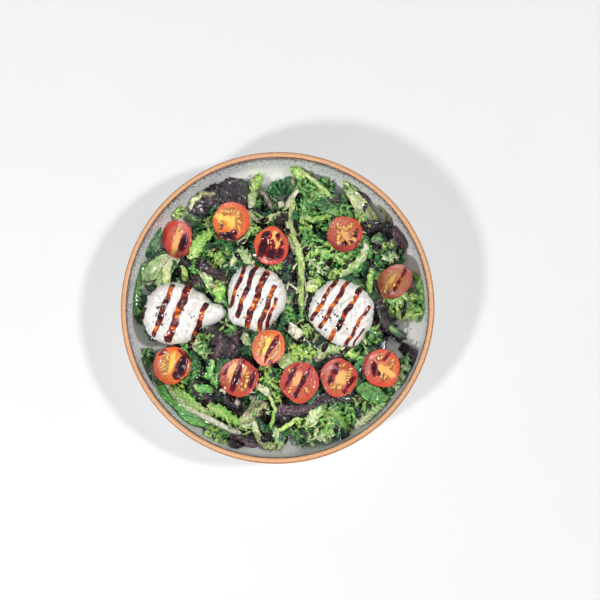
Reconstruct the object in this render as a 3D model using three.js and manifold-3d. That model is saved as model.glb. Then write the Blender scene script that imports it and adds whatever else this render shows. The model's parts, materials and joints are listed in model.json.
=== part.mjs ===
// A leaf salad with burrata, cherry tomato halves and balsamic drizzle, in its stoneware bowl.
// Millimetres, +Z up. The origin is the middle of the foot ring, on the plane the bowl stands on.
import * as THREE from "three";
import { mergeVertices } from "three/addons/utils/BufferGeometryUtils.js";
import Module from "manifold-3d";

const wasm = await Module();
wasm.setup();

// ---- Driving dimensions ----------------------------------------------------------------------

// The bowl: a turned shape, so each size is a radius or a height.
const BOWL_RADIUS = 120;
const BOWL_HEIGHT = 45;
const BOWL_SIDES = 48;
const LIP_RADIUS = 2.4;
const FOOT_RADIUS = 74;
const FOOT_WIDTH = 5;
const FOOT_RECESS = 2.2;
const FLOOR_MIDDLE_Z = 8;
const FLOOR_EDGE_Z = 9;
const INNER_BEND = { radius: 18, r: 95.7, z: 27 };
const OUTER_BEND = { radius: 22, r: 97.5, z: 27.5 };
const LIP = { r: BOWL_RADIUS - LIP_RADIUS, z: BOWL_HEIGHT - LIP_RADIUS };

// Clear space that touching pieces keep.
const GAP = 0.45;

// Details finer than this are merged where pieces are fused.
const SMALLEST_DETAIL = 0.3;

// The heap of leaves: a low dome, with bays where the bowl's floor shows.
const HEAP_TOP_Z = 35;
const HEAP_EDGE_Z = 14;
const HEAP_RADIUS = 101;
const HEAP_STEEPNESS = 5;
const HEAP_SIDES = 30;
const HEAP_RINGS = 10;
const LUMP_HEIGHT = 0.9;
// Each bay: the direction in degrees from +X, its half width in degrees, and how far it cuts in.
const BAYS = [
  { toward: 95, spread: 9, depth: 15 },
  { toward: 70, spread: 8, depth: 9 },
  { toward: 136, spread: 10, depth: 7 },
  { toward: 28, spread: 13, depth: 7 },
  { toward: -14, spread: 11, depth: 11 },
  { toward: 197, spread: 8, depth: 8 },
  { toward: -82, spread: 8, depth: 7 },
];

// Leaves: the sheet is thin, and its margins are ruffled.
const LEAF_THICKNESS = 1;
const LEAF_SINK = 2.4;
const LEAF_EDGE_Z = 17;
const WALL_CLEARANCE = 1.6;
const FRILL = { steps: 5, ruffle: 3.4, waves: 2.5, bulge: 0.22, lift: 8 };
const BLADE = { steps: 4, ruffle: 2.4, waves: 1.2, bulge: 0.08, lift: 7 };
const STRAP = { steps: 4, ruffle: 1.4, waves: 1.0, bulge: 0.05, lift: 8 };
const RIB = { steps: 5, ruffle: -0.9, waves: 0, bulge: 0, lift: 10, thickness: 2.4 };

// One row a leaf: form, stalk x y, tip x y, width, and how far its middle sways to its left.
const LEAVES = [
  [FRILL, -70, 70, -42, 94, 20, 3],
  [FRILL, -50, 80, -25, 95, 20, -2],
  [STRAP, -4, 76, -19, 97, 8, -5],
  [BLADE, 6, 78, -20, 62, 11, 3],
  [BLADE, 31, 82, 15, 106, 13, -4],
  [FRILL, 18, 69, 38, 93, 27, 3],
  [RIB, 11, 82, 20, -9, 5.5, -3],
  [BLADE, 58, 82, 52, 97, 10, 0],
  [BLADE, 56, 85, 77, 60, 15, 2],
  [STRAP, 79, 77, 88, 57, 8, 4],
  [STRAP, 66, 61, 98, 43, 11, 6],
  [FRILL, 68, 36, 74, 54, 17, 0],
  [BLADE, -59, 33, -52, 57, 15, -2],
  [FRILL, -37, 27, -47, 51, 20, 3],
  [BLADE, -15, 29, -34, 45, 13, 2],
  [STRAP, -62, 33, -36, 15, 8, -2],
  [BLADE, -76, 38, -106, 20, 24, -3],
  [FRILL, -90, 66, -99, 40, 15, -2],
  [STRAP, -104, 22, -103, -16, 13, -4],
  [FRILL, 26, 12, 43, 44, 26, -3],
  [FRILL, 16, 52, 28, 26, 20, -2],
  [FRILL, 103, 32, 108, -8, 11, 4],
  [FRILL, 79, 6, 103, -10, 21, -2],
  [FRILL, 76, 6, 90, -28, 16, 3],
  [STRAP, 95, -34, 103, -56, 11, -2],
  [BLADE, -88, -62, -28, -98, 22, -6],
  [STRAP, -97, -28, -95, -62, 11, -4],
  [FRILL, -56, -16, -38, -38, 19, 2],
  [FRILL, -62, -60, -40, -80, 17, 3],
  [BLADE, -52, -72, -22, -88, 15, -3],
  [STRAP, -27, -88, -9, -74, 9, 2],
  [STRAP, -18, -86, 6, -95, 6.5, -13],
  [STRAP, 2, -73, 58, -81, 11, -3],
  [FRILL, 20, -101, 50, -84, 21, 3],
  [FRILL, 36, -90, 66, -92, 16, 3],
  [STRAP, 61, -91, 86, -64, 9, -3],
  [BLADE, 62, -76, 84, -66, 14, 2],
  [BLADE, 10, -24, 27, -38, 12, 2],
  [BLADE, 33, -36, 56, -34, 10, 2],
];

// Beads of drizzle that fell between the toppings: x, y, length.
const DRIZZLE_LEAN = 21;
const BEAD_WIDTH = 3.6;
const BEAD_HEIGHT = 1.8;
const BEADS = [
  [-76, 28, 7],
  [22, 43, 6],
  [40, 29, 7],
  [97, -6, 9],
  [-56, -47, 6],
  [-9, -90, 5],
  [36, -32, 7],
  [2, 18, 5],
];

// Cherry tomato halves, cut face up. The two half widths and the depth, the turn of the long axis
// from +Y towards +X, the tilt and the direction it faces, and how many seed chambers the cut shows.
// A drop of drizzle is its place across and along the drizzle, its length and its width.
const FACE_RISE = 8;
const CHAMBER_DEPTH = 1.6;
const TOMATOES = [
  { x: -79.7, y: 55.9, a: 12.3, b: 15, depth: 12, turn: -4, tilt: 14, faces: 200, chambers: 2,
    drops: [[3, 0, 15, 6]] },
  { x: -35.9, y: 66.9, a: 14.5, b: 14.9, depth: 13, turn: 10, tilt: 6, faces: 250, chambers: 3,
    drops: [[2, -9, 9, 13]] },
  { x: -4.6, y: 46.4, a: 13.4, b: 14.6, depth: 12, turn: 0, tilt: 8, faces: 270, chambers: 3,
    drops: [[-1, 1, 21, 17]] },
  { x: 51.9, y: 56.2, a: 13.5, b: 14, depth: 13, turn: 0, tilt: 5, faces: 200, chambers: 3,
    drops: [] },
  { x: 89.9, y: 20.1, a: 12, b: 14.8, depth: 12, turn: 48, tilt: 16, faces: 190, chambers: 2,
    drops: [[-3, 2, 15, 4]] },
  { x: -82, y: -44, a: 14.2, b: 14.6, depth: 13, turn: 0, tilt: 8, faces: 20, chambers: 3,
    drops: [[7, -1, 21, 10]] },
  { x: -29, y: -54.6, a: 14.4, b: 14.8, depth: 13, turn: 0, tilt: 6, faces: 90, chambers: 2,
    drops: [[-1.5, 1, 24, 5], [10, 0, 13, 4]] },
  { x: -6.5, y: -32.2, a: 12, b: 14.6, depth: 11, turn: 30, tilt: 12, faces: 250, chambers: 2,
    drops: [[3, 0, 20, 4]] },
  { x: 17.3, y: -58.4, a: 14.8, b: 15.3, depth: 14, turn: 0, tilt: 4, faces: 90, chambers: 2,
    drops: [[-5, 1, 22, 5], [5, 1, 24, 5]] },
  { x: 46.8, y: -54.7, a: 14, b: 14.7, depth: 13, turn: 0, tilt: 6, faces: 130, chambers: 2,
    drops: [[-6, 2, 14, 4], [8, -2, 16, 4]] },
  { x: 79.7, y: -46.8, a: 14.2, b: 15.1, depth: 13, turn: 0, tilt: 8, faces: 110, chambers: 3,
    drops: [[-7, 0, 12, 4]] },
];
const TOMATO_SIDES = 14;

// Burratas: half widths, height above and below the widest line, and the lean of the drizzle on
// them from +Y towards +X. A tail is a tongue torn from the ball: its direction, spread and length.
// A stripe is its place across the drizzle, where it starts and ends along it, and its width.
const BURRATAS = [
  { x: -76.7, y: -3.6, a: 25.6, b: 24.4, turn: 0, lean: 20, phase: 0.4,
    tails: [{ toward: 0, spread: 24, length: 12 }],
    stripes: [[-10.3, -24, 8, 3.2], [2.7, -22.5, 18.5, 5.4], [18.8, -13, 9, 3.2]] },
  { x: -15.9, y: 6.1, a: 20.5, b: 26.4, turn: 20, lean: 20, phase: 2.1,
    tails: [],
    stripes: [[-14.2, -17, 16, 3], [-6.4, -20, 17, 3], [0.6, -23.4, 22, 4.4], [11.6, -17, 13, 4]] },
  { x: 48.9, y: -4.7, a: 24.4, b: 25.6, turn: 31, lean: 31, phase: 4.0,
    tails: [{ toward: -62, spread: 24, length: 3 }],
    stripes: [[-14.5, -18, 16, 3], [-7.8, -20, 19, 3.4], [4, -23.5, 22, 4], [17.6, -15, 13, 3]] },
];
const BURRATA_ABOVE = 11.5;
const BURRATA_BELOW = 13;
const BURRATA_RISE = 2;
const BURRATA_SIDES = 18;
const BURRATA_RINGS = 10;
const STRIPE_THICKNESS = 2.2;
const STRIPE_PROUD = 0.9;

const COLOURS = {
  bowl: "#c9b49a",
  salad: "#5f8a3c",
  tomato: "#d4523a",
  burrata: "#f6f2ea",
};

// ---- Solids ----------------------------------------------------------------------------------

const radians = THREE.MathUtils.degToRad;

// A three.js geometry as a manifold solid.
function solidOf(geometry) {
  const bare = geometry.clone();
  bare.deleteAttribute("normal");
  bare.deleteAttribute("uv");
  const merged = mergeVertices(bare, 1e-4);
  const mesh = new wasm.Mesh({
    numProp: 3,
    vertProperties: new Float32Array(merged.attributes.position.array),
    triVerts: new Uint32Array(merged.index.array),
  });
  return new wasm.Manifold(mesh);
}

// A manifold solid as a three.js geometry.
function geometryOf(solid) {
  const { vertProperties, triVerts } = solid.getMesh();
  const geometry = new THREE.BufferGeometry();
  geometry.setAttribute("position", new THREE.BufferAttribute(vertProperties, 3));
  geometry.setIndex(new THREE.BufferAttribute(triVerts, 1));
  geometry.computeVertexNormals();
  return geometry;
}

// The largest body of a solid, so that no loose scrap and no sealed hollow stays.
function largestBody(solid) {
  const bodies = solid.decompose();
  return bodies.reduce((best, body) => (body.volume() > best.volume() ? body : best));
}

// A shape turned about +Z from [radius, height] points that run up its outside.
function turned(points, sides) {
  const profile = points.map(([r, z]) => new THREE.Vector2(r, z));
  return new THREE.LatheGeometry(profile, sides).rotateX(Math.PI / 2);
}

// Points on a circle's arc in a profile, both ends included.
function arc(centre, radius, fromDegrees, toDegrees, steps) {
  return Array.from({ length: steps + 1 }, (_, i) => {
    const angle = radians(fromDegrees + ((toDegrees - fromDegrees) * i) / steps);
    return [centre.r + radius * Math.cos(angle), centre.z + radius * Math.sin(angle)];
  });
}

// Moves each vertex of a geometry to where `place` says.
function reshape(geometry, place) {
  const position = geometry.attributes.position;
  const point = new THREE.Vector3();
  for (let i = 0; i < position.count; i += 1) {
    point.fromBufferAttribute(position, i);
    place(point);
    position.setXYZ(i, point.x, point.y, point.z);
  }
  return geometry;
}

// A closed solid from a sheet: both faces have the same triangles, and the border joins them.
function thicken(sheet, thickness) {
  sheet.computeVertexNormals();
  const { position, normal } = sheet.attributes;
  const count = position.count;
  const points = [...position.array];
  for (let i = 0; i < count * 3; i += 1) {
    points.push(position.array[i] - normal.array[i] * thickness);
  }
  const top = [...sheet.index.array];
  const faces = [...top];
  const edges = new Set();
  for (let i = 0; i < top.length; i += 3) {
    const [a, b, c] = top.slice(i, i + 3);
    faces.push(c + count, b + count, a + count);
    [[a, b], [b, c], [c, a]].forEach((edge) => edges.add(edge.join()));
  }
  for (const edge of edges) {
    const [a, b] = edge.split(",").map(Number);
    if (!edges.has(`${b},${a}`)) {
      faces.push(b, a, a + count, b, a + count, b + count);
    }
  }
  const geometry = new THREE.BufferGeometry();
  geometry.setAttribute("position", new THREE.Float32BufferAttribute(points, 3));
  geometry.setIndex(faces);
  return geometry;
}

// ---- The bowl --------------------------------------------------------------------------------

// The glazed inside, from the middle of the floor up to the lip, set back by `back`.
function bowlInside(back = 0) {
  const bend = { r: INNER_BEND.r, z: INNER_BEND.z };
  const radius = INNER_BEND.radius - back;
  return [
    [0, FLOOR_MIDDLE_Z + back],
    ...arc(bend, radius, -90, 0, 5),
    [LIP.r - LIP_RADIUS - back, LIP.z],
  ];
}

function bowlGeometry() {
  const outside = [
    [0, FOOT_RECESS],
    [FOOT_RADIUS - FOOT_WIDTH - 2, FOOT_RECESS],
    [FOOT_RADIUS - FOOT_WIDTH, 0],
    [FOOT_RADIUS, 0],
    [FOOT_RADIUS + 2.5, 3],
    ...arc(OUTER_BEND, OUTER_BEND.radius, -90, 0, 4),
    [BOWL_RADIUS, LIP.z],
  ];
  const lip = arc(LIP, LIP_RADIUS, 30, 150, 3);
  return turned([...outside, ...lip, ...bowlInside().reverse()], BOWL_SIDES);
}

// The inner radius of the bowl at a height.
function innerRadius(z) {
  if (z >= INNER_BEND.z) {
    return INNER_BEND.r + INNER_BEND.radius;
  }
  const drop = Math.min(INNER_BEND.z - z, INNER_BEND.radius);
  return INNER_BEND.r + Math.sqrt(INNER_BEND.radius ** 2 - drop ** 2);
}

// The height of the bowl's inner surface at a radius.
function innerHeight(r) {
  const out = Math.max(r - INNER_BEND.r, 0);
  const floor = THREE.MathUtils.lerp(FLOOR_MIDDLE_Z, FLOOR_EDGE_Z, Math.min(r / INNER_BEND.r, 1));
  return out > 0 ? INNER_BEND.z - Math.sqrt(INNER_BEND.radius ** 2 - out ** 2) : floor;
}

// The space that food may fill: the inside less the gap, open far above the lip.
function spaceInBowl() {
  const inside = bowlInside(GAP);
  const sky = BOWL_HEIGHT * 2;
  return solidOf(turned([...inside, [inside.at(-1)[0], sky], [0, sky]], BOWL_SIDES));
}

// ---- The heap of leaves ----------------------------------------------------------------------

// A flat-topped bump round a direction in degrees: 1 in its middle and 0 well past its spread.
function bump(angle, { toward, spread }) {
  const turn = THREE.MathUtils.radToDeg(angle) - toward;
  const away = THREE.MathUtils.euclideanModulo(turn + 180, 360) - 180;
  return Math.exp(-((away / spread) ** 4));
}

function heapEdge(angle) {
  return BAYS.reduce((edge, bay) => edge - bay.depth * bump(angle, bay), HEAP_RADIUS);
}

function lumps(x, y) {
  return LUMP_HEIGHT * (Math.sin(x / 9 + 0.7) * Math.cos(y / 8 - 0.4) + 0.6 * Math.sin((x + y) / 7));
}

// The top of the bare heap. Past its edge it stays level, as leaves lean out to the wall there.
function heapTop(x, y) {
  const share = Math.min(Math.hypot(x, y) / heapEdge(Math.atan2(y, x)), 1);
  const fall = share ** HEAP_STEEPNESS;
  return THREE.MathUtils.lerp(HEAP_TOP_Z, HEAP_EDGE_Z, fall) + lumps(x, y) * (1 - fall);
}

// The bare heap: a ball whose upper half takes the heap's top, and whose lower half the bowl's inside.
function heapCore() {
  const ball = new THREE.SphereGeometry(1, HEAP_SIDES, HEAP_RINGS).rotateX(Math.PI / 2);
  return reshape(ball, (point) => {
    const upper = point.z > -0.01;
    const reach = heapEdge(Math.atan2(point.y, point.x));
    point.x *= reach;
    point.y *= reach;
    const bed = innerHeight(Math.hypot(point.x, point.y)) + 2 * GAP;
    point.z = upper ? Math.max(heapTop(point.x, point.y), bed + 1) : bed;
  });
}

// How wide a leaf is at a share of its length, from stalk to tip.
function leafOutline(share) {
  return 0.22 + 0.78 * Math.sin(Math.PI * share ** 0.8) ** 0.6;
}

// One leaf: a sheet laid on the heap along its rib, with its margins up in ruffles.
function leafSolid([form, x0, y0, x1, y1, width, sway], order) {
  const sheet = new THREE.PlaneGeometry(1, 1, form.steps, 2);
  const along = new THREE.Vector2(x1 - x0, y1 - y0);
  const across = new THREE.Vector2(-along.y, along.x).normalize();
  const phase = order * 2.4;
  reshape(sheet, (point) => {
    const share = point.x + 0.5;
    const side = 2 * point.y;
    const wave = Math.sin(2 * Math.PI * form.waves * share + 1.9 * side + phase);
    const offset = (width / 2) * leafOutline(share) * side * (1 + form.bulge * wave)
      + sway * Math.sin(Math.PI * share);
    let x = x0 + along.x * share + across.x * offset;
    let y = y0 + along.y * share + across.y * offset;
    const arch = form.lift * Math.sin(Math.PI * share) - LEAF_SINK;
    const margin = side ** 2 * form.ruffle * (0.5 + 0.5 * wave);
    const z = Math.max(heapTop(x, y), LEAF_EDGE_Z) + LEAF_THICKNESS + arch + margin;
    const tooFar = Math.hypot(x, y) / (innerRadius(z - LEAF_THICKNESS) - WALL_CLEARANCE);
    if (tooFar > 1) {
      x /= tooFar;
      y /= tooFar;
    }
    point.set(x, y, z);
  });
  return solidOf(thicken(sheet, form.thickness ?? LEAF_THICKNESS));
}

// A drop of drizzle: a flat bead, long in the direction that the drizzle runs.
function drop(width, length, height) {
  return new THREE.SphereGeometry(0.5, 7, 4).rotateX(Math.PI / 2).scale(width, length, height);
}

function beadSolid([x, y, length]) {
  const bead = drop(BEAD_WIDTH, length, 2 * BEAD_HEIGHT);
  bead.rotateZ(-radians(DRIZZLE_LEAN));
  bead.translate(x, y, heapTop(x, y) + BEAD_HEIGHT);
  return solidOf(bead);
}

// ---- Toppings --------------------------------------------------------------------------------

// A tomato half at the origin, its cut face at height 0, grown by `grow` on all sides.
function tomatoGeometry({ a, b, depth, chambers }, grow = 0) {
  const dome = arc({ r: 0, z: 0 }, 1, -90, -18, 3);
  const face = [[1, -0.06], [0.9, 0], [0.72, 0], [0.42, 0], [0, 0]];
  const half = turned([...dome, ...face], TOMATO_SIDES);
  reshape(half, (point) => {
    const r = Math.hypot(point.x, point.y);
    const inRing = Math.abs(r - 0.42) < 0.1 && point.z > -0.01;
    const inChamber = Math.sin(chambers * Math.atan2(point.y, point.x)) > -0.3;
    point.x *= a + grow;
    point.y *= b + grow;
    point.z = point.z * (depth + grow) - (inRing && inChamber && !grow ? CHAMBER_DEPTH : 0);
  });
  return half;
}

// Puts a tomato's geometry where the half lies on the heap.
function placeTomato(geometry, { x, y, turn, tilt, faces }) {
  geometry.rotateZ(-radians(turn));
  const hinge = new THREE.Vector3(-Math.sin(radians(faces)), Math.cos(radians(faces)), 0);
  geometry.applyMatrix4(new THREE.Matrix4().makeRotationAxis(hinge, radians(tilt)));
  return geometry.translate(x, y, heapTop(x, y) + FACE_RISE);
}

function tomatoSolid(tomato) {
  const half = solidOf(placeTomato(tomatoGeometry(tomato), tomato));
  const lean = radians(DRIZZLE_LEAN);
  const glazed = tomato.drops.reduce((whole, [across, along, length, width]) => {
    const bead = drop(width, length, 2 * BEAD_HEIGHT).rotateZ(-lean);
    const x = across * Math.cos(lean) + along * Math.sin(lean);
    const y = along * Math.cos(lean) - across * Math.sin(lean);
    bead.rotateZ(radians(tomato.turn));
    const spot = new THREE.Vector2(x, y).rotateAround(new THREE.Vector2(), radians(tomato.turn));
    bead.translate(spot.x, spot.y, -0.4);
    return whole.add(solidOf(placeTomato(bead, tomato)));
  }, half);
  return largestBody(glazed.simplify(SMALLEST_DETAIL));
}

// How far a burrata reaches from its middle in a direction.
function burrataReach({ a, b, turn, tails, phase }, angle) {
  const own = angle + radians(turn);
  const oval = (a * b) / Math.hypot(b * Math.cos(own), a * Math.sin(own));
  const uneven = 0.5 * Math.sin(3 * angle + phase) + 0.4 * Math.sin(5 * angle - phase);
  return tails.reduce((reach, tail) => reach + tail.length * bump(angle, tail), oval + uneven);
}

function burrataMiddleZ({ x, y }) {
  return heapTop(x, y) + BURRATA_RISE;
}

// The height of a burrata's top above its middle, at a place measured from its middle.
function burrataTop(burrata, x, y) {
  const share = Math.min(Math.hypot(x, y) / burrataReach(burrata, Math.atan2(y, x)), 1);
  const folds = Math.sin(x / 4.5 + burrata.phase) * Math.cos(y / 5.5 - burrata.phase);
  return Math.sqrt(1 - share ** 2.6) * (BURRATA_ABOVE + 0.9 * folds);
}

function burrataGeometry(burrata, grow = 0) {
  const ball = new THREE.SphereGeometry(1, BURRATA_SIDES, BURRATA_RINGS).rotateX(Math.PI / 2);
  return reshape(ball, (point) => {
    const upper = point.z > 0.01;
    const reach = burrataReach(burrata, Math.atan2(point.y, point.x)) + grow;
    const below = point.z * (BURRATA_BELOW + grow);
    point.x *= reach;
    point.y *= reach;
    point.z = upper ? burrataTop(burrata, point.x, point.y) : below;
  });
}

// One stripe of thick drizzle, laid over a burrata.
function stripeSolid(burrata, [across, from, to, width]) {
  const sheet = new THREE.PlaneGeometry(1, 1, 4, 1);
  const lean = radians(burrata.lean);
  reshape(sheet, (point) => {
    const along = THREE.MathUtils.lerp(from, to, point.x + 0.5);
    const side = 2 * point.y;
    const over = across - (side * width) / 2;
    const x = along * Math.sin(lean) + over * Math.cos(lean);
    const y = along * Math.cos(lean) - over * Math.sin(lean);
    point.set(x, y, burrataTop(burrata, x, y) + STRIPE_PROUD);
  });
  return solidOf(thicken(sheet, STRIPE_THICKNESS));
}

function burrataSolid(burrata) {
  const ball = solidOf(burrataGeometry(burrata));
  const whole = burrata.stripes.reduce((sum, stripe) => sum.add(stripeSolid(burrata, stripe)), ball);
  return whole.simplify(SMALLEST_DETAIL).translate([burrata.x, burrata.y, burrataMiddleZ(burrata)]);
}

// The pocket that a topping needs: a cup with facets round those of a ball, open far above.
const POCKET_HEIGHT = 40;
const CUP = [[0, -1], [0.42, -1], [1, -0.42], [1, 0], [0, 0]];
const TOMATO_CUP = { sides: 9, room: 1.07 };

function tomatoPocket(tomato) {
  const room = (size) => size * TOMATO_CUP.room + GAP;
  const pocket = reshape(turned(CUP, TOMATO_CUP.sides), (point) => {
    point.x *= room(tomato.a);
    point.y *= room(tomato.b);
    point.z = point.z < -0.01 ? point.z * room(tomato.depth) : POCKET_HEIGHT;
  });
  return solidOf(placeTomato(pocket, tomato));
}

function burrataPocket(burrata) {
  const cup = turned(CUP, BURRATA_SIDES).rotateZ(-Math.PI / 2);
  const pocket = reshape(cup, (point) => {
    const reach = burrataReach(burrata, Math.atan2(point.y, point.x)) + GAP;
    point.x *= reach;
    point.y *= reach;
    point.z = point.z < -0.01 ? point.z * (BURRATA_BELOW + GAP) : POCKET_HEIGHT;
  });
  return solidOf(pocket).translate([burrata.x, burrata.y, burrataMiddleZ(burrata)]);
}

// ---- The whole object ------------------------------------------------------------------------

const tomatoPockets = TOMATOES.map(tomatoPocket);
const pockets = [...tomatoPockets, ...BURRATAS.map(burrataPocket)];

function saladSolid() {
  const core = solidOf(heapCore());
  const leaves = [...LEAVES.map(leafSolid), ...BEADS.map(beadSolid)];
  const heap = wasm.Manifold.union([core, ...leaves]);
  const fitted = heap.simplify(SMALLEST_DETAIL).intersect(spaceInBowl()).subtract(wasm.Manifold.union(pockets));
  return largestBody(fitted);
}

const salad = new THREE.Group();

function addPiece(name, geometry, colour, roughness) {
  const material = new THREE.MeshStandardMaterial({ color: colour, roughness, metalness: 0 });
  const mesh = new THREE.Mesh(geometry, material);
  mesh.name = name;
  salad.add(mesh);
}

const numbered = (name, index) => `${name}_${String(index + 1).padStart(2, "0")}`;

addPiece("bowl", bowlGeometry(), COLOURS.bowl, 0.35);
addPiece("salad", geometryOf(saladSolid()), COLOURS.salad, 0.5);
TOMATOES.forEach((tomato, i) => {
  addPiece(numbered("tomato_half", i), geometryOf(tomatoSolid(tomato)), COLOURS.tomato, 0.25);
});
BURRATAS.forEach((burrata, i) => {
  const pressed = tomatoPockets.reduce((ball, pocket) => ball.subtract(pocket), burrataSolid(burrata));
  addPiece(numbered("burrata", i), geometryOf(largestBody(pressed)), COLOURS.burrata, 0.4);
});

export default salad;
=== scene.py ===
"""A leaf salad with burrata, cherry tomato halves and balsamic drizzle in a stoneware bowl.

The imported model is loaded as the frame, and each of its nodes is dressed with a finished piece.
Shapes are worked out in millimetres and written to the meshes in metres.
"""
import json
import math
from functools import cache
from typing import NamedTuple

import bmesh
import bpy
import numpy as np
from mathutils import Color, Matrix, Vector
from mathutils.bvhtree import BVHTree

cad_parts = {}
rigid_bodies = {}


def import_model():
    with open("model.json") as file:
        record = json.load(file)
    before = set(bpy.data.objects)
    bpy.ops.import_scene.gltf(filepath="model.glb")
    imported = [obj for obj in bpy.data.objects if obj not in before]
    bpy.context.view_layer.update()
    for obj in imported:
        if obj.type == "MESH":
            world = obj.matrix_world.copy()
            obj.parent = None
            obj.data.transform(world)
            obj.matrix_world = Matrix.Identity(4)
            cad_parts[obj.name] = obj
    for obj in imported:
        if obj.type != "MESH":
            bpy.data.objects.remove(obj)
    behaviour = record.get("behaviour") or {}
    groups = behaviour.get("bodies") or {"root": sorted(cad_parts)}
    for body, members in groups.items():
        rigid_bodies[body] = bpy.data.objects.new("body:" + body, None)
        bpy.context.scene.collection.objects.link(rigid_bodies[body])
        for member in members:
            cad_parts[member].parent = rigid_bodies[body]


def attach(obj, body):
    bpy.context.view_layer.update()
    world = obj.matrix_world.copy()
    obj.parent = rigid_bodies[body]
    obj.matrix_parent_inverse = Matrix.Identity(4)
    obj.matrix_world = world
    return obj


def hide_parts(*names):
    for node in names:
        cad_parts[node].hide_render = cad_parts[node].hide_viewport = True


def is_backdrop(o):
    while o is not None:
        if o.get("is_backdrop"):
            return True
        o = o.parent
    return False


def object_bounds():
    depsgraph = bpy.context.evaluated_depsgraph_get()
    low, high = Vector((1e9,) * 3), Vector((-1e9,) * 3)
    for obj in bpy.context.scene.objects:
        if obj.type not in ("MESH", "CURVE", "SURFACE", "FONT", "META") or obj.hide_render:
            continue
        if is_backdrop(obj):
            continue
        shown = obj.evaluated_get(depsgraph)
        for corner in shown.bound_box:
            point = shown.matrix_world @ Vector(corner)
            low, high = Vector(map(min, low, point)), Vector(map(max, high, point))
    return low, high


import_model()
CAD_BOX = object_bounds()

bl_info = {
    "name": "Burrata salad",
    "version": (1, 0, 0),
    "blender": (4, 5, 0),
    "location": "View3D > Sidebar > Salad",
    "description": "Dresses a bowl of leaf salad with burrata, tomatoes and balsamic drizzle",
    "category": "Object",
}

MM = 0.001
SEED = 7
BODY = "root"
TAU = 2 * math.pi


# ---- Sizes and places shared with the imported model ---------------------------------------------

BOWL_RADIUS = 120
BOWL_HEIGHT = 45
LIP_RADIUS = 2.4
FOOT_RADIUS = 74
FOOT_WIDTH = 5
FOOT_RECESS = 2.2
FLOOR_MIDDLE_Z = 8
FLOOR_EDGE_Z = 9
INNER_RADIUS, INNER_R, INNER_Z = 18, 95.7, 27
OUTER_RADIUS, OUTER_R, OUTER_Z = 22, 97.5, 27.5
LIP_R = BOWL_RADIUS - LIP_RADIUS
LIP_Z = BOWL_HEIGHT - LIP_RADIUS

HEAP_TOP_Z = 35
HEAP_EDGE_Z = 14
HEAP_RADIUS = 101
HEAP_STEEPNESS = 5
LUMP_HEIGHT = 0.9
# Where the bowl's floor shows: the direction in degrees, its half width in degrees, its depth.
BAYS = [(95, 9, 15), (70, 8, 9), (136, 10, 7), (28, 13, 7), (-14, 11, 11), (197, 8, 8), (-82, 8, 7)]


class Tomato(NamedTuple):
    """A cherry tomato half: its place, half widths, depth, turn, tilt and the way it faces.

    It is ripest on its blush's side, and darker with a lower tone. The rest is in mm from its
    middle: patches of core, chambers and drizzle are each across, along, half width, half length
    and the direction of the length in degrees from +Y towards +X.
    Chambers end with how many seeds they hold, and drizzle with its thickness.
    """
    x: float
    y: float
    a: float
    b: float
    depth: float
    turn: float
    tilt: float
    faces: float
    ripeness: float
    blush: float
    tone: float
    cores: tuple
    cells: tuple
    marks: tuple


class Burrata(NamedTuple):
    """A burrata: its place, the reach of its torn edge, its drizzle and its pepper.

    The edge is pairs of a direction in degrees and a reach. A stripe is across, from, to, width
    and thinness in the direction that the drizzle leans. Pepper is a place, half widths and a
    count.
    """
    x: float
    y: float
    lean: float
    phase: float
    edge: tuple
    stripes: tuple
    pepper: tuple


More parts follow.
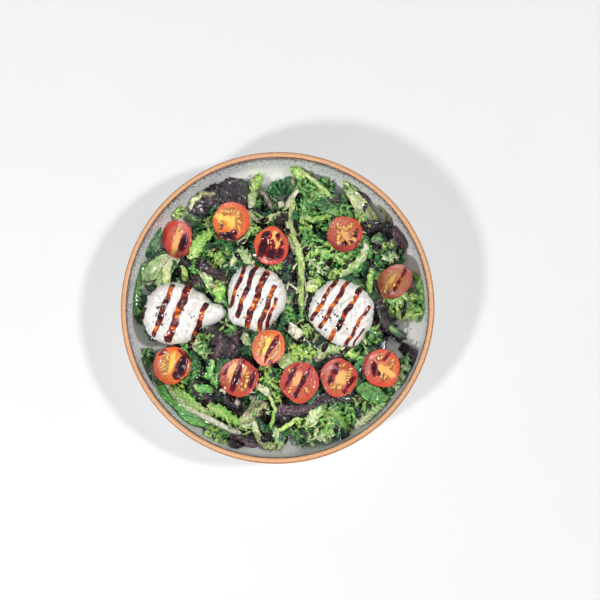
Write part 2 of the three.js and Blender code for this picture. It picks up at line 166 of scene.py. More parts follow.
FACE_RISE = 8
TOMATOES = [
    Tomato(-79.7, 55.9, 12.3, 15, 12, -4, 14, 200, 0.95, 180, 0.9,
           ((-0.8, -1.5, 3, 12.5, 17),),
           ((4.4, -3.5, 3.2, 9, 15, 0), (0.6, 8, 2.8, 2.6, 0, 2)),
           ((4.6, -3.5, 3.2, 8.6, 17, 1.8),)),
    Tomato(-35.9, 66.9, 14.5, 14.9, 13, 10, 6, 250, 0.3, 20, 0.97,
           ((-5.2, 2.3, 2.6, 9, -75), (0.6, -0.6, 3.2, 5, 20)),
           ((-2, 7.9, 3.1, 6.6, 85, 5), (5.9, 0, 3.2, 8.4, 0, 6), (-8.4, -3, 2.8, 4.4, 10, 2)),
           ((-3.4, -11.6, 3.4, 8.4, 104, 1.8), (1.8, -9.2, 2.6, 3.4, 60, 1.5),
            (-7.8, -4.2, 1, 2.2, 10, 0.8))),
    Tomato(-4.6, 46.4, 13.4, 14.6, 12, 0, 8, 270, 0.7, -50, 0.9,
           ((2.3, 7.1, 2.6, 5, 20), (5, 1.5, 2.4, 4, 40)),
           ((-2, 8, 2.4, 4, 45, 3), (6, 6.4, 2.6, 3.6, -30, 3), (0.5, 1.5, 2.6, 4, 0, 2)),
           ((-0.6, -1.5, 9.6, 10, 20, 0.55), (-6.2, -1, 4, 9.4, 14, 1.7),
            (-4.2, 8.4, 2.8, 4.4, 48, 1.6), (0.4, -6.2, 4.6, 6, 40, 1.5),
            (6.2, -5.8, 3.2, 6, 28, 1.4), (5.2, 7.4, 2.2, 2.6, 0, 1.4), (7.8, 1.8, 1.8, 3, 20, 1))),
    Tomato(51.9, 56.2, 13.5, 14, 13, 0, 5, 200, 0.8, -110, 0.72,
           ((-0.6, 0.4, 3.4, 4, 20), (-4, -6, 1.6, 3, 30), (5, -4, 1.4, 4, 110)),
           ((-4.6, -1.8, 2.5, 4.4, 0, 4), (3, 5.2, 2.7, 4.6, 60, 5), (1, -6.4, 2.5, 4.4, 95, 3),
            (-4, 5.6, 2.4, 3.8, -40, 3), (6.4, -1, 2.3, 3.8, 0, 2)),
           ((8.7, -0.2, 1.9, 4.4, 20, 1.2), (0, -7.5, 2.2, 2.4, 0, 1.6), (5.4, -6.1, 1.5, 1.6, 0, 1.2),
            (9.6, -7.4, 1, 3.4, 35, 0.6))),
    Tomato(89.9, 20.1, 12, 14.8, 12, 48, 16, 190, 0.15, -60, 0.48,
           ((-3, 0.4, 1.8, 8, 40),),
           ((-7, -4.8, 2.4, 5, 40, 2), (4, 1.2, 2.8, 8.5, 40, 4)),
           ((0.4, -5.8, 1.6, 2.8, 35, 1.2), (3.2, -0.8, 1.5, 2.5, 35, 1.2), (6.4, 4.8, 1.5, 3.6, 35, 1),
            (-3.5, -8.2, 1.3, 2.4, 60, 0.8), (8.4, 8, 1.8, 3, 10, 1.1))),
    Tomato(-82, -44, 14.2, 14.6, 13, 0, 8, 20, 0.1, 200, 0.95,
           ((-0.6, 2, 2.2, 8.5, 15),),
           ((-5.2, 1.6, 4, 9.5, 12, 9), (6.5, -1, 4.4, 9.5, 20, 0)),
           ((7.6, -0.6, 4.6, 9.6, 20, 1.9), (3.6, -8, 3.8, 3.6, 60, 1.7), (-7.2, 9.8, 1.5, 4, 58, 0.9),
            (6.8, 10, 1.2, 3.6, -50, 0.5))),
    Tomato(-29, -54.6, 14.4, 14.8, 13, 0, 6, 90, 0.85, 100, 0.7,
           ((-5.6, 4.4, 2.8, 9.4, 20), (4, 6, 1.6, 4, 20)),
           ((5.2, -3, 3.1, 8.4, 20, 7), (-9.6, -3, 2, 4.5, 20, 0)),
           ((-2, -0.6, 3.7, 11.4, 20, 1.5), (9.9, -2, 2.5, 7.6, 22, 1.2),
            (-10.4, 4.6, 1.6, 4.6, 28, 0.8), (3, 12, 1.6, 1.8, 0, 0.7))),
    Tomato(-6.5, -32.2, 12, 14.6, 11, 30, 12, 250, 0.1, 180, 0.86,
           ((-0.8, 2.3, 1.6, 8, 22),),
           ((-6.2, 1, 2.7, 8, 15, 7), (5, -3.4, 2.6, 8, 22, 0)),
           ((1.2, -1.4, 1.7, 12.4, 27, 1), (5, 3.6, 1.7, 7.6, 27, 0.9), (1.4, -11, 2.2, 1.8, 0, 0.9))),
    Tomato(17.3, -58.4, 14.8, 15.3, 14, 0, 4, 90, 1.0, 110, 0.86,
           ((-2, 2.5, 2.6, 6.5, 25),),
           ((-7.4, -5.8, 2, 3.6, 0, 2), (5.2, -6, 2.2, 4, 10, 2), (-8.2, 8, 1.8, 3.4, 30, 1)),
           ((-6.6, 4.6, 2.5, 10.6, 27, 1), (2.1, 0, 2.5, 12.6, 27, 1.2), (-3, -10, 2.8, 2.8, 0, 1.3))),
    Tomato(46.8, -54.7, 14, 14.7, 13, 0, 6, 130, 0.75, 90, 0.76,
           ((1.9, -0.4, 3.6, 6.6, 30), (2.4, -2, 3, 4, 30)),
           ((-6.2, -1.2, 2.9, 5, 10, 3), (8, 2.4, 2.5, 6, 10, 5), (-2, -7.4, 2.3, 5, 100, 4),
            (1.4, 9, 2.2, 5, 90, 3)),
           ((-2.6, 5.2, 3, 4.6, 35, 0.9), (-6.2, -1.7, 2.2, 4, 10, 1.5), (-1.2, 9.8, 2.4, 1.8, 0, 1.3),
            (9.1, -3.7, 2.2, 6, 38, 1.1), (4.4, -10.4, 2, 3, 45, 0.8))),
    Tomato(79.7, -46.8, 14.2, 15.1, 13, 0, 8, 110, 0.7, 190, 0.98,
           ((4.4, -2.8, 2.3, 8, 124), (-0.4, -0.6, 2.6, 4, 0)),
           ((-5.2, 0, 3.2, 6.6, -10, 3), (1.6, -7, 3.6, 3, 90, 3), (7.4, 3.4, 2.9, 5, 20, 3),
            (-1.2, 8, 3.2, 3.4, 60, 2)),
           ((-5.8, -0.6, 2.5, 6, -5, 1.5), (3.7, 8.5, 1.7, 5, 35, 0.8), (-2, -4.4, 1.9, 2, 0, 1.2))),
]

BURRATA_ABOVE = 11.5
BURRATA_BELOW = 13
BURRATA_RISE = 2
BURRATAS = [
    Burrata(-76.7, -3.6, 20, 0.4,
            ((-178, 27.2), (-161, 28.6), (-143, 28.2), (-128, 27.4), (-112, 26.2), (-94, 24.8),
             (-75, 24.4), (-50, 22.2), (-31, 22.4), (-23, 26.6), (-13, 31), (-6, 36.3), (2, 37.6),
             (9, 34.6), (15, 27.4), (34, 25.4), (50, 22.4), (68, 21.4), (97, 23.5), (121, 25.4),
             (152, 27), (163, 26.6)),
            ((-24.6, -15, -5, 3.2, 0.1), (-10.4, -25, 19, 4, 0.1), (1.4, -25, 24, 5.8, 0.35),
             (19, -18, 14, 4, 0.2)),
            ((-13, -3, 5, 11, 17), (6, -2, 8, 9, 4))),
    Burrata(-15.9, 6.1, 20, 2.1,
            ((-167, 22.6), (-149, 25.6), (-134, 26.2), (-111, 23.8), (-79, 26.2), (-55, 22.6),
             (-42, 21.4), (-14, 22.8), (31, 23.6), (58, 24.3), (87, 25), (113, 28.2), (127, 26.6),
             (148, 25.2), (164, 23.4)),
            ((-16.4, -15, 25, 3.2, 0.2), (-8.6, -20, 25, 3.6, 0), (0.6, -25, 23, 4.8, 0.4),
             (10.4, -25, 14, 4, 0.5), (15, -23, 5, 2.6, 0.3)),
            ((-3, 2, 14, 18, 9),)),
    Burrata(48.9, -4.7, 31, 4.0,
            ((-166, 25.6), (-148, 24.2), (-133, 22.4), (-111, 24.6), (-82, 26.4), (-62, 28.4),
             (-44, 25), (-9, 24.8), (18, 25.8), (47, 24.8), (69, 24.6), (97, 25.8), (111, 26.4),
             (125, 25.2), (150, 24.6), (179, 25.2)),
            ((-15.6, -18, 21, 3.4, 0.5), (-7, -20, 24, 3.4, 0.5), (4.2, -26, 25, 3.8, 0.1),
             (16.4, -25, 15, 2.8, 0.5), (21.4, -20, -2, 1.4, 0.5)),
            ((-8, -3, 10, 11, 18),)),
]


# ---- Colours and materials ---------------------------------------------------------------------

def linear(code):
    """An sRGB hex colour as linear red, green and blue."""
    channels = [int(code[i:i + 2], 16) / 255 for i in (1, 3, 5)]
    return [c / 12.92 if c <= 0.04045 else ((c + 0.055) / 1.055) ** 2.4 for c in channels]


def colour_property(name, code, description):
    return bpy.props.FloatVectorProperty(
        name=name, description=description, subtype="COLOR", size=3, min=0, max=1,
        default=linear(code))


def length_property(name, millimetres, description):
    return bpy.props.FloatProperty(
        name=name, description=description, default=millimetres * MM, min=0, unit="LENGTH",
        precision=4)


class BowlLook(bpy.types.PropertyGroup):
    floor_glaze: colour_property("Floor glaze", "#fcfaf6", "Cream glaze where it pooled")
    wall_glaze: colour_property("Wall glaze", "#f5f7ff", "Thinner grey glaze on the wall")
    speckle: colour_property("Speckle", "#3d3b46", "Iron specks in the glaze")
    clay: colour_property("Bare clay", "#e4aa78", "Tan clay on the lip and foot")
    # Painted shade: the lip's rounded outer edge is painted darker, for the shade that falls there.
    lip_edge_shade: colour_property("Clay edge", "#a8642f", "Clay burnt darker at its outer edge")
    edge_line: colour_property("Edge line", "#6e3520", "Burnt line where glaze meets clay")
    speck_size: length_property("Speck size", 1.4, "Width of a typical speck")
    band_inner: length_property("Band inner radius", 115.9, "Where the bare lip begins")
    band_drop: length_property("Band drop", 4, "How far the bare lip runs down outside")


class LeafLook(bpy.types.PropertyGroup):
    thickness: length_property("Leaf thickness", 0.45, "Thickness of a leaf's blade")
    crinkle_size: length_property("Crinkle", 2.4, "Width of the fine crinkles of a leaf")
    vein_spacing: length_property("Vein spacing", 3.6, "Distance between side veins")
    film_size: length_property("Wet film", 2.8, "Width of the ripples in the film of oil")
    # Painted shade: the dark colour that leaves deep in the heap or under other leaves are mixed
    # towards, and the core's colour.
    depth_shade: colour_property("Depths", "#1c2b31", "Wet leaves deep in the heap")
    deep: colour_property("Deep green", "#245642", "Old outer leaves")
    mid: colour_property("Mid green", "#46964a", "Most of the leaves")
    bright: colour_property("Bright green", "#7ac84c", "Young frilly leaves")
    lime: colour_property("Lime", "#b6de5a", "Yellow-green hearts")
    light: colour_property("Light green", "#9cd078", "Undersides and light leaves")
    pale: colour_property("Pale", "#d6e29c", "Blanched ribs and hearts")
    cream: colour_property("Cream", "#f2ecd0", "Thick white ribs")
    purple: colour_property("Purple", "#221a28", "Red lettuce, almost black")
    maroon: colour_property("Maroon", "#472c38", "Thin margins of red lettuce")
    pink: colour_property("Pink", "#7a5462", "Light side of red lettuce")
    brown: colour_property("Brown", "#86784c", "Bruised tips")


class TomatoLook(bpy.types.PropertyGroup):
    skin: colour_property("Skin", "#cc2f20", "Glossy skin of the ripe tomatoes")
    orange_skin: colour_property("Orange skin", "#e8601c", "Skin of the orange tomatoes")
    ring: colour_property("Outer ring", "#e03a28", "Flesh just under the skin of the ripe ones")
    orange_ring: colour_property("Orange ring", "#f26018", "The same of the orange tomatoes")
    red_flesh: colour_property("Red flesh", "#d03c2a", "Outer flesh of the ripe tomatoes")
    orange_flesh: colour_property("Orange flesh", "#f0781a", "Outer flesh of the orange tomatoes")
    core: colour_property("Core", "#ffb26c", "Pale middle of the ripe tomatoes")
    yellow_core: colour_property("Yellow core", "#ffd044", "Middle of the orange tomatoes")
    gel: colour_property("Gel", "#c8760c", "Jelly of the orange tomatoes")
    red_gel: colour_property("Red gel", "#b2421c", "Jelly of the ripe tomatoes")
    seed: colour_property("Seed", "#f6cc5c", "Seeds in the jelly")
    seed_length: length_property("Seed length", 3.5, "Length of a seed")
    film_size: length_property("Juice film", 5, "Width of the ripples in the film of juice")


class CheeseLook(bpy.types.PropertyGroup):
    curd: colour_property("Curd", "#fffdf9", "Fresh cheese")
    # Painted shade: the colour that the creases and fine wrinkles of the curd are darkened towards.
    crease: colour_property("Crease", "#decabc", "Warm shade in the creases")
    pepper: colour_property("Pepper", "#1e1712", "Cracked black pepper")
    husk: colour_property("Pepper husk", "#4a3a2c", "Lighter flecks of the pepper")
    grain: length_property("Curd grain", 3, "Width of the fine strands of the curd")


class DrizzleLook(bpy.types.PropertyGroup):
    bead: colour_property("Bead", "#1c0f17", "Where the glaze stands in beads")
    thick: colour_property("Thick glaze", "#54191c", "A thick film of glaze")
    middle: colour_property("Middle glaze", "#7c2418", "Where the glaze is a film of a millimetre")
    thin: colour_property("Thin glaze", "#d2560e", "Where light passes the glaze")
    edge: colour_property("Glaze edge", "#f39a34", "Where the glaze is thinnest")
    wine: colour_property("Wine edge", "#ae2430", "Thin glaze over red flesh")
    syrup: colour_property("Syrup", "#5c0f1e", "Thick glaze over red flesh")
    brown: colour_property("Brown edge", "#4a2018", "Thin glaze over leaves")
    ripple: length_property("Ripple", 3, "Width of the ripples in the glaze")


class StageLook(bpy.types.PropertyGroup):
    table: colour_property("Table", "#eff0f1", "Plain pale table")
    mottle: colour_property("Table mottle", "#ecedee", "Faint clouds in the table")
    distance: bpy.props.FloatProperty(
        name="Camera distance", description="From the lens to the middle of the dish",
        default=1.1, min=0.3, unit="LENGTH")
    lens: bpy.props.FloatProperty(
        name="Lens", description="Focal length in millimetres", default=86.6, min=10)
    azimuth: bpy.props.FloatProperty(
        name="Azimuth", description="Side that the camera leans to", default=math.radians(18),
        subtype="ANGLE")
    elevation: bpy.props.FloatProperty(
        name="Elevation", description="Height of the camera's view", default=math.radians(82),
        subtype="ANGLE")


LOOKS = {
    "salad_bowl_look": BowlLook,
    "salad_leaf_look": LeafLook,
    "salad_tomato_look": TomatoLook,
    "salad_cheese_look": CheeseLook,
    "salad_drizzle_look": DrizzleLook,
    "salad_stage_look": StageLook,
}

# The Mix node's colour sockets, which share their names with its other kinds.
MIX_A, MIX_B, MIX_RESULT = 6, 7, 2
# Settings and inputs that many nodes share. Nearly all of a noise lies within its span.
MIX_COLOURS = {"data_type": "RGBA"}
MULTIPLY_COLOURS = {"data_type": "RGBA", "blend_type": "MULTIPLY"}
MULTIPLY = {"operation": "MULTIPLY"}
MULTIPLY_ADD = {"operation": "MULTIPLY_ADD"}
SUBTRACT = {"operation": "SUBTRACT"}
EASED = {"interpolation_type": "SMOOTHSTEP"}
FALLING = {"To Min": 1.0, "To Max": 0.0}
NOISE_SPAN = {"From Min": 0.3, "From Max": 0.7}


def add_node(tree, kind, settings=None, inputs=None):
    """Adds a shader node. An input is a value, a colour, a socket, or a node for its first one."""
    node = tree.nodes.new("ShaderNode" + kind)
    for key, value in (settings or {}).items():
        setattr(node, key, value)
    for key, value in (inputs or {}).items():
        if isinstance(value, bpy.types.Node):
            value = value.outputs[0]
        if isinstance(value, Color):
            value = (*value, 1)
        if isinstance(value, bpy.types.NodeSocket):
            tree.links.new(value, node.inputs[key])
        else:
            node.inputs[key].default_value = value
    return node


def new_material(name):
    """A material, its node tree, and the socket that gives a point's place in metres."""
    material = bpy.data.materials.new(name)
    material.use_nodes = True
    tree = material.node_tree
    tree.nodes.clear()
    return material, tree, add_node(tree, "TexCoord").outputs["Object"]


def with_surface(material, inputs):
    """The material, once its surface is a Principled shader with these inputs."""
    shader = add_node(material.node_tree, "BsdfPrincipled", None, inputs)
    add_node(material.node_tree, "OutputMaterial", None, {"Surface": shader})
    return material


# ---- Meshes ------------------------------------------------------------------------------------

def arc(r, z, radius, start, end, steps):
    """Points on a circle's arc in a profile, from one direction in degrees to the other."""
    turns = [math.radians(start + (end - start) * i / steps) for i in range(steps + 1)]
    return [(r + radius * math.cos(turn), z + radius * math.sin(turn)) for turn in turns]


def turned(profile, steps):
    """A bmesh turned about Z from (radius, height) points that start and end on the axis."""
    bm = bmesh.new()
    points = [bm.verts.new((r, 0, z)) for r, z in profile]
    edges = [bm.edges.new(pair) for pair in zip(points, points[1:])]
    bmesh.ops.spin(bm, geom=points + edges, axis=(0, 0, 1), cent=(0, 0, 0), angle=TAU, steps=steps,
                   use_merge=True)
    bmesh.ops.remove_doubles(bm, verts=bm.verts, dist=1e-4)
    bmesh.ops.recalc_face_normals(bm, faces=bm.faces)
    return bm


def mesh_arrays(bm):
    """A bmesh's points, and its faces as lists of indices."""
    bm.verts.index_update()
    points = np.array([vert.co for vert in bm.verts])
    faces = [[vert.index for vert in face.verts] for face in bm.faces]
    bm.free()
    return points, faces


@cache
def grid(along, across):
    """A flat grid by its steps: the share along it, the side from -1 to 1, and its faces."""
    bm = bmesh.new()
    bmesh.ops.create_grid(bm, x_segments=along, y_segments=across, size=1)
    points, faces = mesh_arrays(bm)
    return (points[:, 0] + 1) / 2, points[:, 1], np.array(faces)


def joined(patches):
    """Joins patches, each of points, faces and more arrays a point, into one of each."""
    starts = np.cumsum([0] + [len(patch[0]) for patch in patches[:-1]])
    points = np.concatenate([patch[0] for patch in patches])
    faces = np.concatenate([patch[1] + start for patch, start in zip(patches, starts)])
    more = [np.concatenate(arrays) for arrays in zip(*[patch[2:] for patch in patches])]
    return points, faces, *more


def mesh_from(name, points, faces, tint=None, mask=None, place=None):
    """A mesh in metres from points in mm, with a colour, a number and a UV a point where given."""
    mesh = bpy.data.meshes.new(name)
    mesh.from_pydata((points * MM).tolist(), [], [list(map(int, face)) for face in faces])
    if tint is not None:
        layer = mesh.attributes.new("tint", "FLOAT_COLOR", "POINT")
        rgba = np.concatenate([tint, np.ones((len(tint), 1))], axis=1)
        layer.data.foreach_set("color", rgba.astype(np.float32).ravel())
    if mask is not None:
        layer = mesh.attributes.new("mask", "FLOAT", "POINT")
        layer.data.foreach_set("value", mask.astype(np.float32))
    if place is not None:
        corners = np.zeros(len(mesh.loops), np.int32)
        mesh.loops.foreach_get("vertex_index", corners)
        layer = mesh.uv_layers.new(name="place")
        layer.data.foreach_set("uv", (place[corners] * MM).astype(np.float32).ravel())
    mesh.validate()
    mesh.shade_smooth()
    return mesh


def add_piece(mesh, material, slot, *nodes):
    """Makes a mesh a finished piece that stands for the named nodes."""
    mesh.materials.append(material)
    piece = bpy.data.objects.new(mesh.name, mesh)
    bpy.context.scene.collection.objects.link(piece)
    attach(piece, BODY)
    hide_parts(*nodes)
    return piece


def give_thickness(piece, thickness):
    modifier = piece.modifiers.new("Thickness", "SOLIDIFY")
    modifier.thickness = thickness
    modifier.offset = -1
    modifier.use_quality_normals = True


def waves(x, y, size, phases):
    """Smooth unevenness from -1 to 1 of about that size in mm, from as many waves as phases."""
    total = 0
    for i, phase in enumerate(phases):
        turn = phase * 3.7 + i * 2.4
        pitch = TAU / (size * (0.75 + 0.16 * i))
        total = total + np.sin(pitch * (x * math.cos(turn) + y * math.sin(turn)) + phase)
    return total / math.sqrt(len(phases) * 2)


def blend(a, b, share):
    """A mix of two colours or rows of colours by a share a point."""
    share = np.asarray(share)[..., None]
    return np.asarray(a) * (1 - share) + np.asarray(b) * share


def smooth(low, high, value):
    share = np.clip((value - low) / (high - low), 0, 1)
    return share * share * (3 - 2 * share)


def turned_axes(x, y, middle_x, middle_y, direction):
    """How far places lie across and along a direction in degrees from +Y towards +X."""
    turn = math.radians(direction)
    dx, dy = x - middle_x, y - middle_y
    return dx * math.cos(turn) - dy * math.sin(turn), dx * math.sin(turn) + dy * math.cos(turn)


def turned_place(across, along, middle_x, middle_y, direction):
    """The places that lie that far across and along such a direction."""
    turn = math.radians(direction)
    return (middle_x + across * math.cos(turn) + along * math.sin(turn),
            middle_y - across * math.sin(turn) + along * math.cos(turn))


def unit(turn):
    """A step of 1 in a direction in radians."""
    return np.array([math.cos(turn), math.sin(turn)])


# ---- The bowl's and the heap's forms -----------------------------------------------------------

def inner_radius(z):
    """The bowl's inner radius at a height."""
    drop = np.clip(INNER_Z - z, 0, INNER_RADIUS)
    return INNER_R + np.sqrt(INNER_RADIUS ** 2 - drop ** 2)


def inner_height(r):
    """The height of the bowl's inner surface at a radius."""
    out = np.clip(r - INNER_R, 0, INNER_RADIUS)
    floor = FLOOR_MIDDLE_Z + (FLOOR_EDGE_Z - FLOOR_MIDDLE_Z) * np.minimum(r / INNER_R, 1)
    return np.where(out > 0, INNER_Z - np.sqrt(INNER_RADIUS ** 2 - out ** 2), floor)


def bump(angle, toward, spread):
    away = (np.degrees(angle) - toward + 180) % 360 - 180
    return np.exp(-((away / spread) ** 4))


def heap_edge(angle):
    return HEAP_RADIUS - sum(depth * bump(angle, toward, spread) for toward, spread, depth in BAYS)


def heap_top(x, y):
    """The top of the heap of leaves."""
    share = np.minimum(np.hypot(x, y) / heap_edge(np.arctan2(y, x)), 1)
    fall = share ** HEAP_STEEPNESS
    lumps = np.sin(x / 9 + 0.7) * np.cos(y / 8 - 0.4) + 0.6 * np.sin((x + y) / 7)
    return HEAP_TOP_Z + (HEAP_EDGE_Z - HEAP_TOP_Z) * fall + LUMP_HEIGHT * lumps * (1 - fall)


def face_height(tomato, x, y):
    """The height at places of the plane that a half's cut face lies in."""
    toward, slope = math.radians(tomato.faces), math.tan(math.radians(tomato.tilt))
    away = (x - tomato.x) * math.cos(toward) + (y - tomato.y) * math.sin(toward)
    return float(heap_top(tomato.x, tomato.y)) + FACE_RISE - slope * away


def tomato_frame(tomato):
    """The matrix that puts a half at the origin in its place."""
    hinge = Vector((-math.sin(math.radians(tomato.faces)), math.cos(math.radians(tomato.faces)), 0))
    place = Vector((tomato.x, tomato.y, face_height(tomato, tomato.x, tomato.y)))
    tilt = Matrix.Rotation(math.radians(tomato.tilt), 4, hinge)
    return Matrix.Translation(place) @ tilt @ Matrix.Rotation(-math.radians(tomato.turn), 4, "Z")


def placed(points, matrix):
    matrix = np.array(matrix)
    return points @ matrix[:3, :3].T + matrix[:3, 3]


def burrata_reach(cheese, angle):
    """How far a burrata reaches in a direction."""
    directions, reaches = zip(*cheese.edge)
    return np.interp(np.degrees(angle), directions, reaches, period=360)


def burrata_middle_z(cheese):
    return float(heap_top(cheese.x, cheese.y)) + BURRATA_RISE


# The leaves' places are what an eye here sees against the plane of the lip.
EYE_X, EYE_Y, EYE_Z = 65, -142, 1134


def seen_at(x, y, z):
    """The place at a height that the eye sees where a place in the plane of the lip is."""
    share = (BOWL_HEIGHT - z) / (EYE_Z - BOWL_HEIGHT)
    return x + (x - EYE_X) * share, y + (y - EYE_Y) * share


UNDER_GAP = 0.6
UNDER_MARGIN = 1.03
OPEN = 1e3


def half_ball(share):
    """The depth of a ball of 1 under its middle plane, at a share of its radius."""
    return np.sqrt(np.clip(1 - share ** 2, 0, 1))


def under_toppings(x, y):
    """The height that leaves stay under, which is far up where no topping lies."""
    limit = np.full(np.shape(x), OPEN)
    undersides = []
    for tomato in TOMATOES:
        across, along = turned_axes(x, y, tomato.x, tomato.y, tomato.turn)
        share = np.hypot(across / tomato.a, along / tomato.b)
        undersides.append((share, face_height(tomato, x, y) - tomato.depth * half_ball(share)))
    for cheese in BURRATAS:
        dx, dy = x - cheese.x, y - cheese.y
        share = np.hypot(dx, dy) / burrata_reach(cheese, np.arctan2(dy, dx))
        undersides.append((share, burrata_middle_z(cheese) - BURRATA_BELOW * half_ball(share)))
    for share, bottom in undersides:
        limit = np.where(share < UNDER_MARGIN, np.minimum(limit, bottom - UNDER_GAP), limit)
    return limit


# ---- Leaves ------------------------------------------------------------------------------------

class Form(NamedTuple):
    """How a kind of leaf is shaped. Lengths are mm, and shares are of the leaf's half width."""
    along: int
    across: int
    stalk: float    # width at the stalk end, as a share
    belly: float    # under 1 the widest place is nearer the stalk
    lobe: float     # length of a lobe of the margin
    cut: float      # depth of the cuts between lobes, as a share
    point: float    # 0 for round lobes, 1 for pointed teeth
    sweep: float    # how far the margins run ahead of the rib, as a share
    ruffle: float   # height of the waves of the margins
    fold: float     # length of a wave of the margins
    crinkle: float  # height of the blisters of the blade
    arch: float     # rise of the middle above both ends
    cup: float      # rise of the margins, as a share
    roll: float     # most that the leaf leans to one side, as a share
    rib: float      # half width of the rib
    rib_rise: float
    bulk: float     # how far it lifts what is laid on it


FORMS = {
    "bed": Form(16, 8, 0.5, 0.8, 6, 0.25, 0.6, 0.3, 1.6, 6, 0.9, 3, 0.05, 0.5, 0.8, 0.2, 0.8),
    "sprig": Form(12, 4, 0.6, 0.9, 3.6, 0.5, 1, 0.8, 1.2, 7, 0.2, 2.4, 0.35, 1, 0.4, 0.2, 0.4),
    "frill": Form(22, 8, 0.5, 0.9, 4.5, 0.55, 1, 0.8, 2.8, 6, 0.6, 3, 0.15, 0.6, 0.5, 0.3, 0.7),
    "vein": Form(16, 4, 0.8, 1, 4, 0.2, 0, 0, 0.2, 8, 0.05, 2, -0.4, 0.2, 0.5, 0.2, 0.3),
    "batavia": Form(34, 10, 0.35, 0.7, 5.5, 0.4, 0.8, 0.35, 3.6, 5.6, 1, 4, 0.08, 0.45, 0.9, 0.4, 1),
    "lollo": Form(36, 10, 0.55, 0.6, 4.2, 0.25, 0.5, 0.15, 3.6, 4.3, 1.3, 3.5, 0.05, 0.45, 0.7, 0.2,
                  1),
    "blade": Form(24, 10, 0.25, 0.85, 9, 0.12, 0.5, 0.2, 1.1, 11, 0.45, 4, 0.16, 0.4, 1, 0.5, 1),
    "strap": Form(30, 8, 0.6, 1, 7, 0.2, 0.6, 0.1, 0.9, 8, 0.4, 3, 0.15, 0.35, 0.8, 0.3, 1),
    "stem": Form(36, 8, 0.75, 1, 9, 0.05, 0, 0, 0.2, 12, 0.15, 3, -0.45, 0.05, 9, 0, 1),
    "strand": Form(16, 4, 0.7, 1, 3.4, 0.5, 1, 0.5, 0.7, 6, 0.1, 2, -0.2, 0.2, 0.5, 0, 0.6),
}

# Blade, margin and rib colours.
PALETTES = {
    "deep": ("deep", "mid", "mid"),
    "mid": ("deep", "mid", "light"),
    "green": ("mid", "bright", "light"),
    "bright": ("bright", "lime", "pale"),
    "lime": ("lime", "bright", "pale"),
    "light": ("light", "pale", "cream"),
    "pale": ("pale", "lime", "cream"),
    "cream": ("cream", "pale", "cream"),
    "purple": ("purple", "purple", "maroon"),
    "maroon": ("maroon", "purple", "pink"),
    "pink": ("pink", "maroon", "cream"),
    "mixed": ("deep", "maroon", "light"),
    "brown": ("brown", "maroon", "pale"),
}

